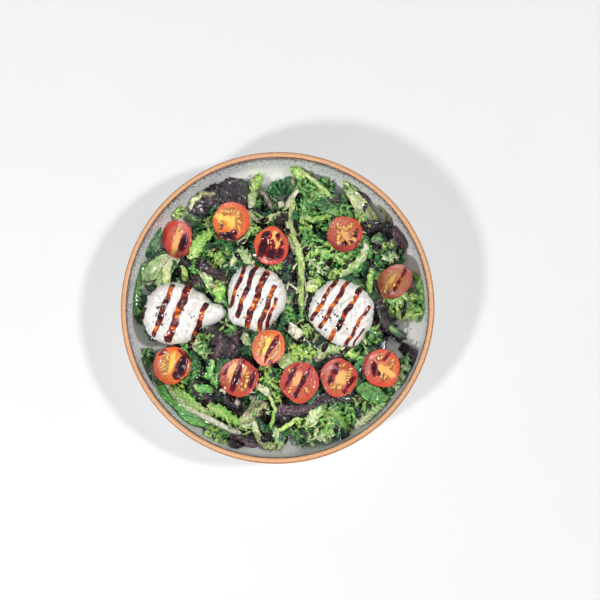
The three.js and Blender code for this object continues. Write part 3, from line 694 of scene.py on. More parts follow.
# Leaves that show, from the lowest to the topmost: form, palette, width and the way of the rib.
LEAVES = [
    # The far left.
    ("lollo", "purple", 20, -66, 70, -56, 80, -44, 92), ("lollo", "purple", 22, -48, 76, -40, 94),
    ("blade", "purple", 25, -37, 76, -29, 99), ("blade", "purple", 15, -25, 77, -24, 95),
    ("lollo", "maroon", 10, -52, 78, -50, 88), ("strap", "brown", 5, -64, 79, -58, 86, -47, 86),
    ("strap", "light", 4, -68, 74, -64, 81, -58, 84), ("frisee", "deep", 15, -66, 64, -57, 50),
    ("blade", "mid", 7, -72, 70, -59, 67), ("frisee", "bright", 8, -79, 66, -73, 75),
    ("batavia", "green", 15, -64, 48, -56, 40),
    ("batavia", "bright", 16, -67, 36, -59, 48, -50, 60),
    ("frisee", "bright", 10, -55, 39, -37, 43), ("frisee", "lime", 9, -53, 29, -42, 36),
    ("frisee", "deep", 11, -47, 51, -35, 50), ("batavia", "light", 12, -18, 30, -28, 45),
    ("batavia", "light", 6, -36, 30, -32, 41), ("frisee", "deep", 15, -12, 84, 4, 94),
    ("frisee", "mid", 10, -10, 76, 2, 82), ("strap", "pink", 4.5, -16, 95, -9, 85, -3, 74),
    ("blade", "light", 7, -21, 77, -17, 89), ("batavia", "lime", 11, -20, 88, -13, 102),
    ("stem", "lime", 3, -20, 99, -17, 89), ("strap", "pale", 6, -21, 70, -10, 66, 3, 72),
    ("strand", "lime", 4, -19, 75, -11, 69), ("frisee", "bright", 10, -22, 64, -14, 55),
    ("blade", "deep", 14, -91, 62, -99, 37), ("frisee", "green", 9, -94, 58, -99, 43),
    ("batavia", "mid", 12, -104, 26, -108, 8, -104, -14),
    ("batavia", "green", 13, -86, 37, -97, 31, -108, 24),
    ("blade", "light", 14, -80, 40, -91, 30, -103, 20),
    ("blade", "light", 12, -76, 40, -85, 29, -92, 15),
    ("blade", "pale", 8, -82, 38, -85, 26, -84, 15),
    ("strand", "pale", 2.4, -82, 40, -88, 30, -96, 20), ("frisee", "green", 7, -107, 17, -106, -8),
    ("blade", "lime", 7, -74, 32, -70, 20), ("frisee", "green", 14, -56, 36, -62, 28),
    ("blade", "light", 8, -58, 29, -50, 12), ("lollo", "purple", 12, -60, 36, -52, 26),
    ("strap", "maroon", 8, -54, 30, -45, 24, -36, 15),
    ("batavia", "bright", 10, -51, 10, -42, 12, -45, 1), ("strap", "brown", 5, -53, 17, -46, 14),
    # The far side.
    ("blade", "brown", 4, 13, 101, 12, 94), ("frisee", "green", 22, 18, 66, 30, 83, 40, 95),
    ("frisee", "green", 20, 42, 70, 24, 93), ("frisee", "mid", 18, 20, 80, 52, 80),
    ("frisee", "green", 16, 13, 86, 27, 98), ("frisee", "green", 14, 40, 71, 57, 73),
    ("frisee", "bright", 10, 22, 78, 36, 88), ("lollo", "maroon", 6, 39, 82, 56, 80),
    ("blade", "lime", 9, 23, 97, 11, 108), ("stem", "lime", 3.4, 20, 103, 32, 93, 44, 81),
    ("stem", "pale", 5.5, 16, 92, 10, 82, 4, 74), ("blade", "cream", 6, 5, 80, 1, 77),
    ("strap", "bright", 4, 18, 68, 28, 66, 42, 69), ("frisee", "green", 16, 21, 62, 30, 42),
    ("frisee", "bright", 12, 22, 46, 30, 30), ("frisee", "green", 14, 46, 42, 64, 41),
    ("batavia", "mid", 8, 51, 86, 53, 79), ("blade", "bright", 8, 56, 85, 53, 99),
    ("frisee", "bright", 8, 53, 84, 61, 89), ("strap", "brown", 6, 78, 77, 86, 69, 84, 57),
    ("blade", "pale", 13, 55, 88, 68, 72, 80, 56), ("frisee", "lime", 9, 59, 73, 70, 61),
    # The far right.
    ("lollo", "purple", 15, 65, 60, 91, 55), ("blade", "mixed", 10, 72, 52, 85, 50),
    ("strap", "maroon", 8, 88, 58, 97, 48, 92, 36), ("frisee", "bright", 8, 80, 44, 89, 46),
    ("frisee", "deep", 16, 74, 34, 95, 38), ("frisee", "light", 6, 80, 35, 93, 37),
    ("batavia", "green", 9, 66, 50, 72, 36), ("strap", "bright", 5, 73, 29, 71, 9),
    ("frisee", "bright", 13, 29, 45, 42, 33), ("frisee", "bright", 14, 40, 41, 58, 31),
    ("frisee", "bright", 12, 34, 30, 47, 22), ("frisee", "light", 9, 24, 35, 38, 25),
    ("strap", "light", 6.5, 69, 47, 66, 37, 58, 29, 48, 22), ("blade", "pale", 9, 23, 18, 30, 11),
    ("blade", "lime", 5, 27, 20, 34, 16), ("blade", "green", 7, 104, 25, 110, 12, 112, -6),
    ("frisee", "green", 18, 84, 2, 108, 0), ("frisee", "bright", 15, 80, 7, 98, -6),
    ("frisee", "bright", 13, 94, 4, 109, -10), ("frisee", "lime", 7, 78, 9, 94, 6, 111, 5),
    ("batavia", "lime", 10, 90, -8, 107, -9), ("lollo", "purple", 13, 76, 4, 84, -14),
    ("lollo", "purple", 14, 80, -10, 97, -26), ("strap", "mixed", 7, 86, -17, 98, -24),
    ("frisee", "green", 11, 68, -14, 77, -28),
    ("lollo", "purple", 11, 94, -30, 103, -38, 104, -52), ("frisee", "mid", 10, 100, -36, 92, -60),
    ("frisee", "light", 7, 98, -46, 88, -64),
    # The middle.
    ("lollo", "purple", 13, -1, 60, 6, 70), ("lollo", "purple", 12, -4, 22, 8, 40),
    ("frisee", "bright", 7, -8, 28, 4, 32), ("strand", "pale", 3, 8, 18, 16, 12, 14, 2),
    ("strand", "pale", 3, 9, 19, 6, 10, 9, 1), ("strand", "light", 3, 21, 24, 23, 8, 20, -4),
    ("strap", "brown", 5, 8, 66, 9, 52, 15, 38),
    ("stem", "lime", 5.5, 12, 83, 11, 70, 12.4, 57, 16.6, 43, 19, 33, 18, 16, 18.6, -8),
    ("strand", "lime", 4, 5, 59, 11, 54, 20, 48), ("frisee", "green", 9, 6, 2, 11, -12),
    ("blade", "cream", 9, 8, -14, 21, -27), ("frisee", "bright", 8, 18, -15, 29, -24),
    ("batavia", "light", 13, 29, -43, 36, -34, 55, -32),
    ("frisee", "lime", 13, 8, -37, 18, -38, 27, -35), ("frisee", "lime", 9, 22, -40, 12, -31),
    ("batavia", "bright", 11, 49, -33, 65, -41), ("blade", "deep", 11, 64, -41, 60, -62),
    # The near left.
    ("blade", "mixed", 11, -94, -35, -103, -46, -96, -63),
    ("frisee", "mid", 6, -102, -35, -92, -38), ("frisee", "light", 10, -66, -28, -52, -38),
    ("frisee", "bright", 8, -62, -24, -48, -20), ("lollo", "purple", 14, -56, -15, -38, -20),
    ("lollo", "purple", 18, -48, -22, -30, -42), ("lollo", "maroon", 13, -42, -28, -50, -44),
    ("lollo", "maroon", 12, -29, -19, -37, -38), ("blade", "light", 7, -28, -19, -20, -31),
    ("strand", "lime", 2.6, -40, -13, -33, -8), ("strand", "lime", 2.6, -40, -13, -46, -9),
    ("strand", "lime", 2.6, -40, -13, -44, -19), ("strand", "bright", 2.6, -40, -13, -33, -18),
    ("strand", "bright", 2.6, -40, -13, -39, -5),
    ("batavia", "green", 10, -48, -42, -51, -52, -45, -62),
    ("lollo", "maroon", 15, -64, -59, -50, -75), ("blade", "green", 7, -63, -62, -47, -64),
    ("lollo", "purple", 13, -42, -71, -22, -78), ("blade", "pink", 5, -33, -69, -28, -78),
    ("strap", "cream", 3, -46, -62, -38, -67), ("frisee", "lime", 9, -76, -59, -69, -71),
    ("batavia", "green", 17, -34, -98, -52, -89, -68, -80, -81, -69, -92, -56),
    ("batavia", "bright", 11, -48, -84, -64, -75, -76, -65, -86, -52),
    ("stem", "light", 4.4, -50, -88, -66, -79, -78, -68, -86, -56),
    ("stem", "cream", 5, -27, -98, -44, -90, -60, -82),
    ("batavia", "bright", 14, -53, -76, -38, -84, -25, -90),
    ("strand", "lime", 3, -40, -82, -34, -94), ("frisee", "bright", 8, -54, -92, -40, -104),
    ("strap", "maroon", 5, -29, -100, -15, -107),
    # The near side.
    ("blade", "brown", 10, -27, -89, -17, -82, -7, -74),
    ("frisee", "bright", 13, -5, -45, -12, -63), ("frisee", "lime", 8, -16, -48, -3, -58),
    ("blade", "cream", 6, -16, -60, -4, -70), ("strap", "lime", 3.4, -6, -68, -1, -79, -5, -95),
    ("strap", "pale", 6.5, -18, -87, -15, -98, -9, -106, 3, -108),
    ("batavia", "light", 11, 0, -93, 3, -109), ("lollo", "purple", 11, 0, -81, 13, -91),
    ("frisee", "mid", 10, 10, -93, 22, -105), ("strap", "lime", 4, 17, -85, 10, -91, 1, -96),
    ("frisee", "light", 12, 22, -104, 44, -96), ("blade", "light", 10, 24, -93, 29, -84, 35, -75),
    ("batavia", "bright", 16, 40, -77, 46, -86, 56, -95),
    ("frisee", "bright", 12, 36, -79, 42, -97), ("frisee", "green", 10, 52, -74, 60, -90),
    ("strap", "deep", 4, 44, -85, 48, -104), ("batavia", "light", 12, 59, -92, 72, -82, 84, -68),
    ("blade", "green", 14, 60, -63, 72, -67, 83, -74), ("frisee", "green", 8, 66, -64, 78, -60),
    ("strap", "purple", 9, 22, -80, 34, -71, 48, -70, 63, -71),
    ("strap", "maroon", 9, 0, -78, 14, -81, 28, -77),
]

# Leaves between the others are picked from the mix of the nearest of these places.
MIXES = {
    "green": (("frisee", "green"), ("frisee", "bright"), ("batavia", "green"), ("frisee", "mid")),
    "lime": (("frisee", "lime"), ("batavia", "bright"), ("blade", "light"), ("strand", "pale")),
    "dark": (("lollo", "purple"), ("lollo", "maroon"), ("frisee", "deep"), ("blade", "mixed")),
    "pale": (("blade", "light"), ("frisee", "light"), ("strand", "pale"), ("frisee", "mid")),
    "deep": (("frisee", "deep"), ("blade", "deep"), ("frisee", "mid"), ("lollo", "purple")),
}
MOODS = [
    (-48, 82, "dark"), (-75, 68, "deep"), (-8, 84, "green"), (-12, 64, "pale"), (28, 82, "green"),
    (50, 78, "green"), (68, 72, "pale"), (82, 50, "dark"), (84, 38, "green"), (30, 52, "green"),
    (42, 34, "green"), (58, 32, "green"), (4, 68, "deep"), (4, 24, "dark"), (-50, 46, "green"),
    (-56, 30, "dark"), (-28, 36, "deep"), (-92, 42, "deep"), (-92, 26, "pale"), (-106, 5, "deep"),
    (-46, 12, "green"), (76, 16, "green"), (96, 0, "green"), (78, -8, "dark"), (86, -22, "dark"),
    (70, -22, "green"), (100, -42, "dark"), (92, -56, "green"), (60, -48, "deep"), (44, -32, "pale"),
    (22, -34, "lime"), (10, -18, "deep"), (-40, -14, "green"), (-38, -32, "dark"),
    (-60, -34, "green"), (-96, -26, "deep"), (-50, -52, "pale"), (-98, -48, "deep"),
    (-72, -66, "green"), (-58, -74, "dark"), (-34, -76, "dark"), (-40, -92, "green"),
    (-16, -84, "pale"), (-8, -54, "green"), (2, -92, "deep"), (10, -80, "dark"), (30, -88, "green"),
    (48, -86, "green"), (64, -72, "green"), (68, -84, "pale"), (34, -100, "green"),
]

# How leaves are picked and laid out, in mm. A stem's thickness is a number of leaves' thicknesses.
BED_SPACING = 11
FILL_SPACING = 14
STRAND_SPACING = 16
CURL_PITCH = 5.2
CURL_WIDTH = (3.2, 5.6)
CURL_REACH = (0.9, 1.5)
# The blade under a curly leaf is darker than its curls.
UNDER_CURLS = {"deep": "deep", "mid": "deep", "green": "mid", "bright": "green", "lime": "bright",
               "light": "green"}
RIB_WIDTH = 1.8
STEM_THICKNESS = 3
FILL_REACH = 2
BAY_CLEARING = 0.7
SEEN_RISE = 4

# How a leaf lies, in mm, and how its colours vary, with how deep the painted shade in the heap reaches.
CORE_DEPTH = 8
CORE_INSET = 2
CORE_CLEARANCE = 0.6
CORE_STEPS = (120, 64)
STACK_CELL = 3
STACK_REACH = 130
STIFFNESS = 0.6
STIFF_LENGTH = 26
LIFT = 0.5
FLOOR_CLEARANCE = 0.8
WALL_CLEARANCE = 0.9
HEAP_CAP = 9.5
SUNK = 7
COVER_SHADE = (3.5, -0.3)
DEEPEST_CUT = 0.85
SWAY = 0.06
BLISTER_SIZE = 3.6
PATCH_SIZE = 9
SHADES = (0.84, 1.28)


class Stack:
    """How high the leaves laid so far reach, in square cells."""

    def __init__(self):
        side = 2 * STACK_REACH // STACK_CELL + 1
        place = np.arange(side) * STACK_CELL - STACK_REACH
        x, y = np.meshgrid(place, place, indexing="ij")
        self.height = np.maximum(heap_top(x, y) - CORE_DEPTH, inner_height(np.hypot(x, y)) + 1)

    def at(self, x, y):
        column = np.clip((x + STACK_REACH) / STACK_CELL, 0, self.height.shape[0] - 1.001)
        row = np.clip((y + STACK_REACH) / STACK_CELL, 0, self.height.shape[1] - 1.001)
        i, j = column.astype(int), row.astype(int)
        s, t = column - i, row - j
        near = self.height[i, j] * (1 - t) + self.height[i, j + 1] * t
        far = self.height[i + 1, j] * (1 - t) + self.height[i + 1, j + 1] * t
        return near * (1 - s) + far * s

    def raise_to(self, x, y, z):
        i = np.clip(np.rint((x + STACK_REACH) / STACK_CELL), 0, self.height.shape[0] - 1)
        j = np.clip(np.rint((y + STACK_REACH) / STACK_CELL), 0, self.height.shape[1] - 1)
        np.maximum.at(self.height, (i.astype(int), j.astype(int)), z)


def lying_on(stack, x, y, stiffness):
    """The height of a sheet that lies on the stack: partly a flat sheet, partly draped."""
    under = stack.at(x, y)
    flat = np.stack([x, y, np.ones_like(x)], axis=1)
    plane, *_ = np.linalg.lstsq(flat, under, rcond=None)
    return (flat @ plane) * stiffness + under * (1 - stiffness)


ROUNDING = 25
FINE = 121


def rib_line(way, share):
    """Places along a rounded line through the points of a way, its direction, and its length."""
    points = np.array(way, float).reshape(-1, 2)
    reached = np.concatenate([[0], np.cumsum(np.hypot(*np.diff(points, axis=0).T))])
    fine = np.linspace(0, 1, FINE)
    line = np.stack([np.interp(fine, reached / reached[-1], column) for column in points.T], axis=1)
    if len(points) > 2:
        window = np.hanning(ROUNDING) / np.hanning(ROUNDING).sum()
        edge = ROUNDING // 2
        padded = np.pad(line, ((edge, edge), (0, 0)), mode="reflect", reflect_type="odd")
        line = np.stack([np.convolve(column, window, "valid") for column in padded.T], axis=1)
    ahead = np.gradient(line, axis=0)
    ahead = ahead / np.linalg.norm(ahead, axis=1)[:, None]
    place = np.stack([np.interp(share, fine, column) for column in line.T], axis=1)
    heading = np.stack([np.interp(share, fine, column) for column in ahead.T], axis=1)
    return place, heading, reached[-1]


def leaf_outline(form, width, length, u, v, phase):
    """A leaf's half width, its points beside and ahead of its rib, and its margins' two waves."""
    side, out = np.sign(v), np.abs(v)
    body = form.stalk + (1 - form.stalk) * np.sin(np.pi * u ** form.belly) ** 0.6
    half = width / 2 * body * (1 - 0.6 * smooth(0.88, 1, u))
    lobe_turn = np.pi * length * u / form.lobe
    lobe = np.abs(np.sin(lobe_turn + phase[0] + 0.9 * side)) ** 0.8
    tooth = np.abs(np.sin(lobe_turn * 2.6 + phase[1] - 0.6 * side))
    uneven = 1 + 0.45 * np.sin(0.37 * lobe_turn + phase[8] + 2 * side)
    lobe, tooth = [form.point * part + (1 - form.point) * (1 - part) for part in (lobe, tooth)]
    cuts = form.cut * uneven * (lobe + 0.4 * tooth)
    aside = v * half * (1 - np.minimum(cuts, DEEPEST_CUT) * out ** 1.4)
    fold_turn = TAU * length * u / form.fold + phase[2] + 1.3 * side
    ahead = form.sweep * half * out ** 1.3 + form.ruffle * 0.4 * out ** 2.5 * np.cos(fold_turn)
    return half, aside, ahead, np.sin(fold_turn), np.sin(fold_turn * 2.6 + phase[3] + 2.1 * side)


def leaf_colours(look, palette, u, out, rib, crest_light, patches, shade):
    """A leaf's colours: its blade, its margins and its rib, with painted light on the crests of its
    waves and a painted highlight along its margins.
    """
    blade, margin, ribs = [np.array(getattr(look, name)) for name in PALETTES[palette]]
    # The margin colour is partly the margins' own colour and partly painted light on the crests.
    tint = blend(blade, margin, np.clip(0.2 + 0.35 * out ** 2 + 0.3 * patches + 0.45 * crest_light, 0, 1))
    tint = blend(tint, ribs, np.clip(rib * 0.9 + 0.5 * (1 - u) ** 3, 0, 1))
    # Painted highlight: a pale line along the margins, brightest on the crests.
    tint = blend(tint, ribs, 0.2 * smooth(0.75, 1, out) * np.clip(1 + crest_light, 0, 1))
    return np.clip(tint * np.clip(shade, 0.3, 1.7)[:, None], 0, 1)


def lay_leaf(stack, look, form, palette, width, way, rng):
    """One leaf laid on the stack: its points, faces, colours and place on the leaf."""
    u, v, faces = grid(form.along, form.across)
    out = np.abs(v)
    place, heading, length = rib_line(way, u)
    phase = rng.uniform(0, TAU, 9)
    half, aside, ahead, wave, curl = leaf_outline(form, width, length, u, v, phase)
    straight = len(way) == 4
    sway = SWAY * length * np.sin(np.pi * u) * rng.uniform(-1, 1) if straight else 0
    offset = aside + sway
    x = place[:, 0] + heading[:, 0] * ahead - heading[:, 1] * offset
    y = place[:, 1] + heading[:, 1] * ahead + heading[:, 0] * offset
    along = u * length + ahead
    rib = np.exp(-((aside / form.rib) ** 2)) * (1 - 0.6 * u)
    blisters = waves(along, aside, BLISTER_SIZE, phase[4:8])
    roll = rng.uniform(-1, 1) * form.roll
    rise = (form.ruffle * out ** 2 * wave + 0.4 * form.ruffle * out ** 4 * curl
            + form.cup * half * v ** 2 + roll * aside + form.crinkle * blisters * (1 - rib)
            + form.rib_rise * rib + form.arch * np.sin(np.pi * u) * rng.uniform(0.4, 1.2))
    base = lying_on(stack, x, y, STIFFNESS * min(1, STIFF_LENGTH / length))
    z = base + rise + abs(roll) * width * 0.2 + LIFT
    top = heap_top(x, y)
    z = np.where(z > top + HEAP_CAP, top + HEAP_CAP + 0.3 * (z - top - HEAP_CAP), z)
    z = np.minimum(z, under_toppings(x, y))
    r = np.hypot(x, y)
    z = np.maximum(z, inner_height(np.minimum(r, INNER_R + INNER_RADIUS - 1)) + FLOOR_CLEARANCE)
    inward = np.minimum(1, (inner_radius(z) - WALL_CLEARANCE) / np.maximum(r, 1))
    x, y = x * inward, y * inward
    stack.raise_to(x, y, np.minimum(base + form.bulk * (1 + 0.35 * np.maximum(rise, 0)), z))
    patches = waves(along, aside, PATCH_SIZE, phase[1:5])
    # Painted light and shade: wave crests and blister tops are painted lighter and troughs darker; the
    # random factor is the leaf's own tone.
    crest_light = (0.7 * wave + 0.3 * curl) * out ** 1.5
    shade = (1 + 0.2 * blisters + 0.5 * crest_light) * rng.uniform(*SHADES)
    tint = leaf_colours(look, palette, u, out, rib, crest_light, patches, shade)
    # Painted shade: the deeper below the heap's top a point lies, the nearer its colour goes to the
    # dark depth colour.
    tint = blend(look.depth_shade, tint, 0.3 + 0.7 * smooth(-SUNK, 0, z - top))
    return np.stack([x, y, z], axis=1), faces, tint, np.stack([along, aside], axis=1)


def curls(palette, width, way, rng):
    """A curly endive leaf as rows: a ragged blade, its rib, and toothed curls off the rib."""
    length = rib_line(way, np.zeros(1))[2]
    count = max(round(length / CURL_PITCH), 3)
    share = (np.arange(count) + rng.uniform(0.2, 0.8, count)) / count
    place, heading, _ = rib_line(way, share)
    yield "frill", UNDER_CURLS[palette], 0.95 * width, *way
    yield "vein", palette, RIB_WIDTH, *way
    for middle, (ahead_x, ahead_y), along in zip(place, heading, share):
        onward = math.atan2(ahead_y, ahead_x)
        for side in (-1, 1):
            reach = width / 2 * (0.35 + 0.75 * math.sin(math.pi * along ** 0.8))
            half = reach * rng.uniform(*CURL_REACH) / 2
            turn = onward + side * rng.uniform(0.5, 1.3)
            bend = middle + half * unit(turn)
            turn += side * rng.uniform(-1.1, 0.6)
            tip = bend + half * unit(turn)
            yield "sprig", palette, rng.uniform(*CURL_WIDTH), *middle, *bend, *tip


def scattered(spacing, rng):
    """Uneven places over the heap, that far apart, with a random direction for each."""
    for x in np.arange(-BOWL_RADIUS, BOWL_RADIUS, spacing):
        for y in np.arange(-BOWL_RADIUS, BOWL_RADIUS, spacing):
            middle = np.array([x, y]) + rng.uniform(-0.5, 0.5, 2) * spacing
            turn = rng.uniform(0, TAU)
            edge = heap_edge(math.atan2(middle[1], middle[0]))
            if math.hypot(*middle) < edge + FILL_REACH - BAY_CLEARING * (HEAP_RADIUS - edge):
                yield middle, unit(turn)


def as_seen(way):
    """Moves a way from the plane of the lip down to the leaves."""
    points = np.array(way, float).reshape(-1, 2)
    x, y = points.T
    r = np.minimum(np.hypot(x, y), INNER_R + INNER_RADIUS - 1)
    level = np.maximum(heap_top(x, y), inner_height(r)) + SEEN_RISE
    return np.stack(seen_at(x, y, level), axis=1).ravel()


def between_rows(rng):
    """Leaves that are not placed by hand, from low to high."""
    rows = []
    for middle, turn in scattered(BED_SPACING, rng):
        step = turn * rng.uniform(9, 13)
        # The lowest leaves get the darkest palettes: partly leaves of those colours, partly painted
        # shade deep in the heap.
        palette = "purple" if rng.random() < 0.35 else "deep"
        rows.append(("bed", palette, rng.uniform(13, 19), *(middle - step), *(middle + step)))
    for middle, turn in scattered(FILL_SPACING, rng):
        mood = min(MOODS, key=lambda mood: math.dist(mood[:2], middle))
        kinds = MIXES[mood[2]]
        form, palette = kinds[rng.integers(len(kinds))]
        step = turn * rng.uniform(6, 11)
        width = 3 if form == "strand" else rng.uniform(9, 16)
        rows.append((form, palette, width, *(middle - step), *(middle + step)))
    for middle, turn in scattered(STRAND_SPACING, rng):
        step = turn * rng.uniform(3.5, 7)
        palette = ("pale", "lime", "light", "bright")[rng.integers(4)]
        rows.append(("strand", palette, rng.uniform(1.6, 3.4), *(middle - step), *(middle + step)))
    return rows


LEAF_PIECES = {
    "bed": "lower_leaves",
    "vein": "endive_ribs",
    "sprig": "curly_endive",
    "heart": "endive_hearts",
    "frill": "endive_blades",
    "batavia": "green_batavia",
    "lollo": "red_lollo",
    "blade": "smooth_leaves",
    "strap": "leaf_ribbons",
    "stem": "leaf_ribs",
    "strand": "endive_strands",
}
HEART_PALETTES = ("bright", "lime", "light", "pale", "cream")


VEIN_DRIFT_SIZE = 7 * MM
VEIN_DRIFT = 9 * MM


def side_veins(tree, look, where):
    """Where a place lies between two side veins, which run ahead of the rib: 0 on one, 0.5 most."""
    place = add_node(tree, "UVMap", {"uv_map": "place"})
    split = add_node(tree, "SeparateXYZ", None, {0: place})
    drift = add_node(tree, "TexNoise", None, {
        "Vector": where, "Scale": 1 / VEIN_DRIFT_SIZE, "Detail": 1})
    aside = add_node(tree, "Math", {"operation": "ABSOLUTE"}, {0: split.outputs["Y"]})
    ahead = add_node(tree, "Math", SUBTRACT, {0: split.outputs["X"], 1: aside})
    along = add_node(tree, "Math", MULTIPLY_ADD, {0: drift, 1: VEIN_DRIFT, 2: ahead})
    step = add_node(tree, "Math", {"operation": "DIVIDE"}, {0: along, 1: look.vein_spacing})
    return add_node(tree, "Math", {"operation": "PINGPONG"}, {0: step, 1: 0.5})


def leaf_material(look):
    """Fresh wet salad leaf: a waxy cuticle with oil on it, crinkled between fine side veins.

    The eye gets small sharp glints on an uneven, slightly translucent blade.
    """
    material, tree, where = new_material("Fresh wet salad leaf")
    tint = add_node(tree, "Attribute", {"attribute_name": "tint"})
    from_vein = side_veins(tree, look, where)
    vein = add_node(tree, "MapRange", EASED, {"Value": from_vein, "From Max": 0.14, **FALLING})
    fine = add_node(tree, "TexNoise", None, {
        "Vector": where, "Scale": 1 / look.crinkle_size, "Detail": 3})
    broken = add_node(tree, "Math", MULTIPLY, {0: vein, 1: fine})
    cloud = add_node(tree, "MapRange", None, {
        "Value": fine, **NOISE_SPAN, "To Min": 0.86, "To Max": 1.14})
    level = add_node(tree, "Math", MULTIPLY_ADD, {0: broken, 1: 0.35, 2: cloud})
    coloured = add_node(tree, "Mix", MULTIPLY_COLOURS, {0: 1.0, MIX_A: tint, MIX_B: level})
    gloss = add_node(tree, "MapRange", None, {
        "Value": fine, **NOISE_SPAN, "To Min": 0.25, "To Max": 0.5})
    puff = add_node(tree, "MapRange", EASED, {"Value": from_vein, "From Max": 0.4, "To Max": 0.5})
    relief = add_node(tree, "Math", {"operation": "ADD"}, {0: fine, 1: puff})
    bumped = add_node(tree, "Bump", None, {"Height": relief, "Strength": 0.8, "Distance": 1.3 * MM})
    film = add_node(tree, "TexNoise", None, {
        "Vector": where, "Scale": 1 / look.film_size, "Detail": 1})
    wet = add_node(tree, "Bump", None, {"Height": film, "Distance": 0.4 * MM})
    return with_surface(material, {
        "Base Color": coloured.outputs[MIX_RESULT], "Roughness": gloss, "Normal": bumped,
        "IOR": 1.42, "Subsurface Weight": 0.1, "Subsurface Scale": MM,
        "Subsurface Radius": (0.5, 1.0, 0.25), "Coat Weight": 1.0, "Coat Roughness": 0.03,
        "Coat Normal": wet})


def core_mesh(look):
    """A lumpy ball squeezed between top and bowl, painted in the dark depth colour as the shade deep in
    the heap.
    """
    bm = bmesh.new()
    bmesh.ops.create_uvsphere(bm, u_segments=CORE_STEPS[0], v_segments=CORE_STEPS[1], radius=1)
    points, faces = mesh_arrays(bm)
    x, y, z = points.T
    reach = heap_edge(np.arctan2(y, x)) - CORE_INSET
    x, y = x * reach, y * reach
    bed = inner_height(np.hypot(x, y)) + CORE_CLEARANCE
    lumps = 1.6 * waves(x, y, 8, (0.3, 1.7, 4.1, 5.2)) + 0.8 * waves(x, y, 3.5, (1.3, 2.7, 0.1))
    top = np.maximum(heap_top(x, y) - CORE_DEPTH - 1 + lumps, bed + CORE_CLEARANCE)
    top = np.maximum(np.minimum(top, under_toppings(x, y)), bed + CORE_CLEARANCE / 2)
    points = np.stack([x, y, np.where(z > -0.01, top, bed)], axis=1)
    tint = np.tile(np.array(look.depth_shade), (len(points), 1))
    return mesh_from("heap_core", points, faces, tint, place=points[:, :2])


class SALAD_OT_leaves(bpy.types.Operator):
    """Lays the salad leaves over their core, which is painted dark as shade"""
    bl_idname = "salad.leaves"
    bl_label = "Salad leaves"

    def execute(self, context):
        look = context.scene.salad_leaf_look
        material = leaf_material(look)
        add_piece(core_mesh(look), material, "leaves", "salad")
        rows = between_rows(np.random.default_rng(SEED))
        rows += [(*row[:3], *as_seen(row[3:])) for row in LEAVES]
        stack = Stack()
        laid = {kind: [] for kind in LEAF_PIECES}
        for i, (form, palette, width, *way) in enumerate(rows):
            rng = np.random.default_rng((SEED, 1, i))
            leaf = [(form, palette, width, *way)]
            if form == "frisee":
                leaf = curls(palette, width, way, rng)
            for part, tone, across, *line in leaf:
                kind = "heart" if part == "sprig" and tone in HEART_PALETTES else part
                laid[kind].append(lay_leaf(stack, look, FORMS[part], tone, across, line, rng))
        for kind, patches in laid.items():
            points, faces, tint, place = joined(patches)
            # Painted shade: where a point lies under leaves laid after it, its colour goes part way to
            # the dark depth colour.
            under = stack.at(points[:, 0], points[:, 1]) - points[:, 2]
            tint = blend(look.depth_shade, tint, 0.5 + 0.5 * smooth(*COVER_SHADE, under))
            mesh = mesh_from(LEAF_PIECES[kind], points, faces, tint, place=place)
            piece = add_piece(mesh, material, "leaves", "salad")
            give_thickness(piece, look.thickness * (STEM_THICKNESS if kind == "stem" else 1))
        return {"FINISHED"}


# ---- The bowl ----------------------------------------------------------------------------------

def bowl_profile():
    """The bowl's outline from under its foot, over the lip and down to the middle of the floor."""
    outside = [
        (0, FOOT_RECESS),
        (FOOT_RADIUS - FOOT_WIDTH - 2, FOOT_RECESS),
        (FOOT_RADIUS - FOOT_WIDTH - 0.4, 0.5),
        (FOOT_RADIUS - FOOT_WIDTH + 0.4, 0),
        (FOOT_RADIUS - 0.6, 0),
        (FOOT_RADIUS, 0.6),
        (FOOT_RADIUS + 1.2, 2.2),
        (FOOT_RADIUS + 2.8, 3.4),
        *arc(OUTER_R, OUTER_Z, OUTER_RADIUS, -86, 0, 24),
        (BOWL_RADIUS - 0.4, 34),
    ]
    lip = arc(LIP_R, LIP_Z, LIP_RADIUS, 0, 180, 16)
    inside = [(LIP_R - LIP_RADIUS - 0.3, 38), (LIP_R - LIP_RADIUS - 0.9, 32)]
    bend = arc(INNER_R, INNER_Z, INNER_RADIUS, 0, -90, 24)
    floor = [(r, float(inner_height(r))) for r in (80, 60, 40, 20)]
    return outside + lip + inside + bend + floor + [(0, FLOOR_MIDDLE_Z)]


BOWL_STEPS = 192
# Heights at which the glaze thins and its specks grow, and at which the clay of the foot ends.
GLAZE_THINS = {"From Min": 14 * MM, "From Max": 44 * MM}
SPECKS_GROW = {"From Min": 24 * MM, "From Max": 48 * MM}
FOOT_BARE = {"From Min": 2.8 * MM, "From Max": 3.3 * MM}
GLAZE_DRIFT_SIZE = 30 * MM
GLAZE_DRIFT = 12 * MM
LIP_DRIFT = 0.6 * MM
CLAY_GRAIN = 2.5 * MM
EDGE_LINE_Z = 36 * MM
# Where the lip's rounded outer edge is painted darker as shade.
LIP_SHADE_SPAN = {"From Min": (BOWL_RADIUS - 1.6) * MM, "From Max": (BOWL_RADIUS - 0.2) * MM}


